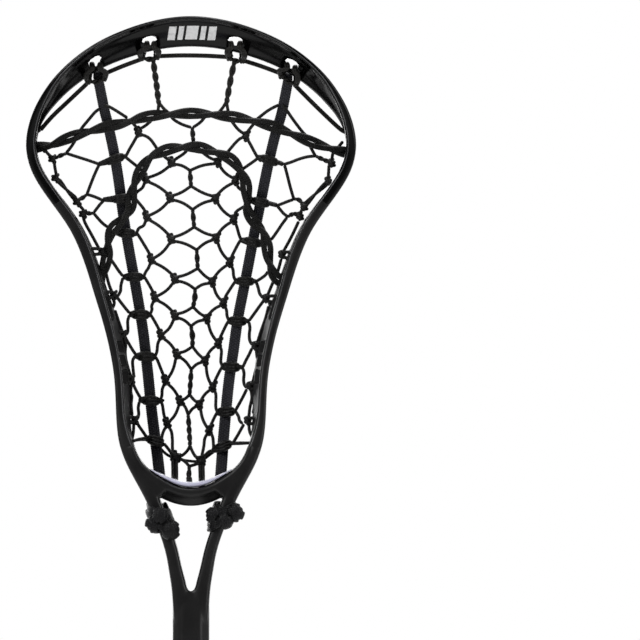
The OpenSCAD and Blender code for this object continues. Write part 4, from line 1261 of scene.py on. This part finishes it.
class Print:
    """Flat printed shapes laid on the handle's skin, as thin closed plates."""
    def __init__(self, th=0.07):
        self.v, self.f, self.th = [], [], th

    def poly(self, outline, step=0.9):
        """A convex outline in (round, up) mm, cut into strips so that it follows the facets."""
        P = np.array(outline, float)
        lo, hi = P[:, 0].min(), P[:, 0].max()
        n = max(1, int(math.ceil((hi - lo) / step)))
        xs = np.linspace(lo + 1e-4, hi - 1e-4, n + 1)
        # the corners of the handle are always strip edges
        cor = [c for c in CORNERS if lo < c < hi]
        xs = np.array(sorted(set(list(xs) + cor)))

        def yr(x):
            ys = []
            for i in range(len(P)):
                a, c = P[i], P[(i + 1) % len(P)]
                if (a[0] - x) * (c[0] - x) <= 0 and a[0] != c[0]:
                    ys.append(a[1] + (c[1] - a[1]) * (x - a[0]) / (c[0] - a[0]))
            return min(ys), max(ys)
        b0 = len(self.v)
        for x in xs:
            l, h_ = yr(x)
            for z in (l, h_):
                for off in (-0.15, self.th):
                    p = on_handle(x, off)
                    self.v.append((p[0] * MM, p[1] * MM, z * MM))
        for i in range(len(xs) - 1):
            a, c = b0 + 4 * i, b0 + 4 * (i + 1)
            self.f += [(a + 1, c + 1, c + 3, a + 3), (a, a + 2, c + 2, c), (a, c, c + 1, a + 1), (a + 2, a + 3, c + 3, c + 2)]
        e = b0 + 4 * (len(xs) - 1)
        self.f += [(b0, b0 + 1, b0 + 3, b0 + 2), (e, e + 2, e + 3, e + 1)]

    def make(self, name, material):
        me = bpy.data.meshes.new(name)
        me.from_pydata(self.v, [], self.f)
        bm = bmesh.new()
        bm.from_mesh(me)
        bmesh.ops.recalc_face_normals(bm, faces=bm.faces)
        bm.to_mesh(me)
        bm.free()
        me.materials.append(material)
        ob = bpy.data.objects.new(name, me)
        scene.collection.objects.link(ob)
        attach(ob, "stick")
        return ob


CORNERS = [PER_S[i] for i in range(len(PER))]
CORNERS = [c for c in CORNERS] + [c - LOOP for c in CORNERS]


def arm(c, ang, l0, l1, w):
    d = np.array([math.cos(ang), math.sin(ang)])
    n = np.array([-d[1], d[0]])
    c = np.array(c)
    return [c + d * l0 - n * w / 2, c + d * l1 - n * w / 2 * .8, c + d * l1 + n * w / 2 * .8, c + d * l0 + n * w / 2]


def ink(name, base, rough, metal=0.0):
    g = Nodes(name)
    o = g.obj()
    wear = g.noise(500, 5, o, .6)
    g.bump(wear, 0.12, 0.03)
    return g.set(Base_Color=g.mix(g.ramp(wear, .45, .75), base, tuple(c * .72 for c in base)), Roughness=rough, Metallic=metal, Specular_IOR_Level=0.5,
                 Coat_Weight=0.2, Coat_Roughness=0.2)


M_ink_grey = ink("print_grey", (0.17, 0.165, 0.175), 0.4)
M_ink_silver = ink("print_silver", (0.55, 0.55, 0.56), 0.32, 0.25)
M_ink_white = ink("print_white", (0.78, 0.78, 0.78), 0.4)
tri = Print(0.05)
S = LOOP / 16.0
for row in range(0, 19):
    z = 679 - row * S * 0.9
    k = 1.0 if row < 11 else max(0.28, 1 - (row - 10) * 0.09)
    for col in range(16):
        uu = (col + 0.5 * (row % 2)) * S
        if uu > LOOP / 2:
            uu -= LOOP
        c = (uu, z)
        for a in (90, 210, 330):
            tri.poly(arm(c, math.radians(a + (180 if row % 2 else 0)), 0.12, S * 0.50 * k, 1.15 * (0.6 + .4 * k)), step=2)
tri.make("handle_print_grey", M_ink_grey)
bars = Print(0.07)


def capsule(b, c, w, hgt, slant=0.0):
    r = min(w, hgt) / 2
    pts = []
    for a in np.linspace(0, 2 * math.pi, 29)[:-1]:
        x = math.cos(a) * r + (w / 2 - r) * (1 if math.cos(a) > 0 else -1)
        y = math.sin(a) * r + (hgt / 2 - r) * (1 if math.sin(a) > 0 else -1)
        pts.append((c[0] + x + slant * y, c[1] + y))
    b.poly(pts)


for z, w, hh in ((580, 8.6, 2.6), (573.5, 8.6, 5.4), (566, 5.4, 2.6), (559, 8.6, 5.4), (552, 8.6, 2.6), (545, 5.4, 2.6), (538, 8.6, 5.4), (531, 8.6, 2.6),
                 (524, 8.6, 5.4), (516.5, 5.4, 2.6), (509.5, 8.6, 2.6), (502.5, 8.6, 5.4), (495.5, 8.6, 2.6)):
    capsule(bars, (0.0, z), w, hh)
bars.make("handle_print_silver", M_ink_silver)
chev = Print(0.07)
for k in range(9):
    z = 482 - k * 9.6
    hgt = 6.4 - 0.35 * k
    chev.poly([(-4.6, z - 1.6), (0.001, z + 1.6), (0.001, z + 1.6 + hgt * .8), (-4.6, z - 1.6 + hgt * .8)])
    chev.poly([(0.001, z + 1.6), (4.6, z - 1.6), (4.6, z - 1.6 + hgt * .8), (0.001, z + 1.6 + hgt * .8)])
chev.make("handle_print_white", M_ink_white)

# a plain slanted-bar emblem printed on the scoop
emb = Batch()


def scoop_y(x, d):
    """Depth of the scoop's bowl side at a point, mm, on the straight wall between its front and back edges."""
    j = np.argmin((P2[:, 0] - x) ** 2 + (P2[:, 1] - (TOP - d)) ** 2)
    dep = (x - P2[j, 0]) * nrm[j, 0] + ((TOP - d) - P2[j, 1]) * nrm[j, 1]
    bw, f, bk, oo, t, w = rows[j][2:8]
    hh = bk - f
    prof = [(bw, f + 4), (oo * .25 + t, f + .34 * hh), (oo * .6 + t, f + .62 * hh), (oo + w, bk - 5)]
    prof = sorted(prof)
    return float(np.interp(dep, [p[0] for p in prof], [p[1] for p in prof]))


me_v, me_f = [], []
dg = bpy.context.evaluated_depsgraph_get()
bpy.context.view_layer.update()
for x0, x1, dt in ((-11.6, -7.6, 6.4), (-6.2, -3.4, 6.2), (-2.0, 4.4, 6.0), (5.8, 8.6, 6.2), (10.0, 14.2, 6.4)):
    n, mrows = 5, 7
    base = len(me_v)
    for q in (0, 1):
        for i in range(mrows + 1):
            d = dt + 7.2 * i / mrows
            for k in range(n + 1):
                x = x0 + (x1 - x0) * k / n - 1.2 * i / mrows
                hit, loc, nn, _ = head.ray_cast(Vector((x * MM, -0.05, (TOP - d) * MM)), Vector((0, 1, 0)))
                y = (loc.y / MM if hit else -4.0) + (-0.06 if q == 0 else 0.25)
                me_v.append((x * MM, y * MM, (TOP - d) * MM))
    L = (mrows + 1) * (n + 1)
    for i in range(mrows):
        for k in range(n):
            a = base + i * (n + 1) + k
            me_f.append((a, a + n + 1, a + n + 2, a + 1))
            me_f.append((a + L, a + L + 1, a + L + n + 2, a + L + n + 1))
    bd = [base + k for k in range(n + 1)] + [base + i * (n + 1) + n for i in range(1, mrows + 1)] \
        + [base + mrows * (n + 1) + k for k in range(n - 1, -1, -1)] + [base + i * (n + 1) for i in range(mrows - 1, 0, -1)]
    for i in range(len(bd)):
        a, c = bd[i], bd[(i + 1) % len(bd)]
        me_f.append((a, c, c + L, a + L))
me = bpy.data.meshes.new("scoop_print")
me.from_pydata(me_v, [], me_f)
bm = bmesh.new()
bm.from_mesh(me)
bmesh.ops.recalc_face_normals(bm, faces=bm.faces)
bm.to_mesh(me)
bm.free()
me.materials.append(M_ink_white)
ob = bpy.data.objects.new("scoop_print", me)
scene.collection.objects.link(ob)
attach(ob, "stick")

# ------------------------------------------------------------------ screw and cap
g = Nodes("zinc_steel")
o = g.obj()
sp = g.noise(700, 4, o, .6)
g.bump(sp, 0.2, 0.03)
M_zinc = g.set(Base_Color=g.mix(sp, (0.42, 0.42, 0.43), (0.66, 0.66, 0.68)), Roughness=g.ramp(sp, .3, .7, .22, .38), Metallic=1.0)
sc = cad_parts["head_screw"]
sc.data.materials.clear()
sc.data.materials.append(M_zinc)

g = Nodes("cap_rubber")
o = g.obj()
gr = g.noise(1200, 5, o)
big = g.noise(120, 3, o)
g.bump(g.math("ADD", gr, g.math("MULTIPLY", big, .6)), 0.5, 0.08)
M_rub = g.set(Base_Color=g.mix(big, (0.010, 0.010, 0.010), (0.022, 0.022, 0.022)), Roughness=g.ramp(big, .3, .7, .62, .78), Specular_IOR_Level=0.35,
              Sheen_Weight=0.1)
prof = [(0, 0.35), (4, 0.35), (4.6, 0), (9.6, 0), (10.8, 0.05), (12.3, .5), (13.5, 1.6), (14.2, 3.1), (14.4, 4.8)]
for k in range(5):
    z = 6.4 + k * 3.0
    prof += [(14.4, z), (13.95, z + .45), (13.95, z + 1.0), (14.4, z + 1.45)]
prof += [(14.4, 22), (13.9, 24.6), (13.2, 25.7), (12.6, 26.0), (12.2, 26.0)]
NS = 96
V, F = [], []
for r, z in prof[1:]:
    for k in range(NS):
        a = 2 * math.pi * k / NS
        V.append((r * math.cos(a), r * math.sin(a), z))
nr = len(prof) - 1
V.append((0, 0, prof[0][1]))
for i in range(nr - 1):
    for k in range(NS):
        j = (k + 1) % NS
        F.append((i * NS + k, i * NS + j, (i + 1) * NS + j, (i + 1) * NS + k))
for k in range(NS):
    F.append((len(V) - 1, (k + 1) % NS, k))
# the mouth follows the eight-sided handle down to the floor of the socket
mouth = []
for k in range(NS):
    a = 2 * math.pi * k / NS
    d = np.array([math.cos(a), math.sin(a)])
    r = min((AF / 2 + .14) / max(abs(d[0]), abs(d[1])), (AF / 2 + FLAT / 2 + .28) / (abs(d[0]) + abs(d[1])))
    mouth.append(d * r)
b0 = len(V)
for z in (25.8, 5.0):
    for p in mouth:
        V.append((p[0], p[1], z))
V.append((0, 0, 5.0))
for k in range(NS):
    j = (k + 1) % NS
    F.append(((nr - 1) * NS + k, (nr - 1) * NS + j, b0 + j, b0 + k))
    F.append((b0 + k, b0 + j, b0 + NS + j, b0 + NS + k))
    F.append((b0 + NS + k, b0 + NS + j, len(V) - 1))
me = bpy.data.meshes.new("cap")
me.from_pydata([tuple(np.array(v) * MM) for v in V], [], F)
bm = bmesh.new()
bm.from_mesh(me)
bmesh.ops.recalc_face_normals(bm, faces=bm.faces)
bm.to_mesh(me)
bm.free()
me.materials.append(M_rub)
me.polygons.foreach_set("use_smooth", [True] * len(me.polygons))
me.set_sharp_from_angle(angle=math.radians(50))
cap = bpy.data.objects.new("cap", me)
scene.collection.objects.link(cap)
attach(cap, "cap")
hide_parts("butt_cap")

# ------------------------------------------------------------------ floor, light, world
me = bpy.data.meshes.new("floor")
me.from_pydata([(-6, -4, 0), (6, -4, 0), (6, 6, 0), (-6, 6, 0)], [], [(0, 1, 2, 3)])
g = Nodes("floor_pale")
me.materials.append(g.set(Base_Color=g.mix(g.noise(3, 2, g.obj()), (0.80, 0.80, 0.80), (0.84, 0.84, 0.84)), Roughness=0.7))
floor = bpy.data.objects.new("floor", me)
scene.collection.objects.link(floor)
floor.location.z = -0.0005

world = bpy.data.worlds.new("studio")
scene.world = world
world.use_nodes = True
nt = world.node_tree
nt.nodes.clear()
out = nt.nodes.new("ShaderNodeOutputWorld")
bg1 = nt.nodes.new("ShaderNodeBackground")
bg2 = nt.nodes.new("ShaderNodeBackground")
mx = nt.nodes.new("ShaderNodeMixShader")
lp = nt.nodes.new("ShaderNodeLightPath")
tc = nt.nodes.new("ShaderNodeTexCoord")
sep = nt.nodes.new("ShaderNodeSeparateXYZ")
mr = nt.nodes.new("ShaderNodeMapRange")
nt.links.new(tc.outputs["Generated"], sep.inputs[0])
nt.links.new(sep.outputs[1], mr.inputs[0])
mr.inputs[1].default_value, mr.inputs[2].default_value = -0.2, 0.8
mr.inputs[3].default_value, mr.inputs[4].default_value = 0.12, 0.9
bg1.inputs[0].default_value = (1, 1, 1, 1)
bg1.inputs[1].default_value = 1.0
bg2.inputs[0].default_value = (1, 1, 1, 1)
nt.links.new(mr.outputs[0], bg2.inputs[1])
nt.links.new(lp.outputs["Is Camera Ray"], mx.inputs[0])
nt.links.new(bg2.outputs[0], mx.inputs[1])
nt.links.new(bg1.outputs[0], mx.inputs[2])
nt.links.new(mx.outputs[0], out.inputs[0])


def area(name, loc, target, size, power, size_y=None):
    l = bpy.data.lights.new(name, "AREA")
    l.energy = power
    l.size = size
    if size_y:
        l.shape = "RECTANGLE"
        l.size_y = size_y
    ob = bpy.data.objects.new(name, l)
    scene.collection.objects.link(ob)
    ob.location = loc
    ob.rotation_euler = (Vector(target) - Vector(loc)).to_track_quat("-Z", "Y").to_euler()
    return ob


area("key", (-1.6, -1.7, 2.3), (0, 0, 0.9), 1.2, 42)
area("fill", (1.9, -1.3, 1.3), (0, 0, 0.8), 0.9, 20, 1.6)
area("top", (0.5, 0.2, 2.6), (0, 0, 1.0), 1.0, 26)
area("back", (-0.4, 2.2, 1.4), (0, 0, 0.7), 1.6, 22)

scene.view_settings.view_transform = "Standard"
scene.view_settings.look = "None"
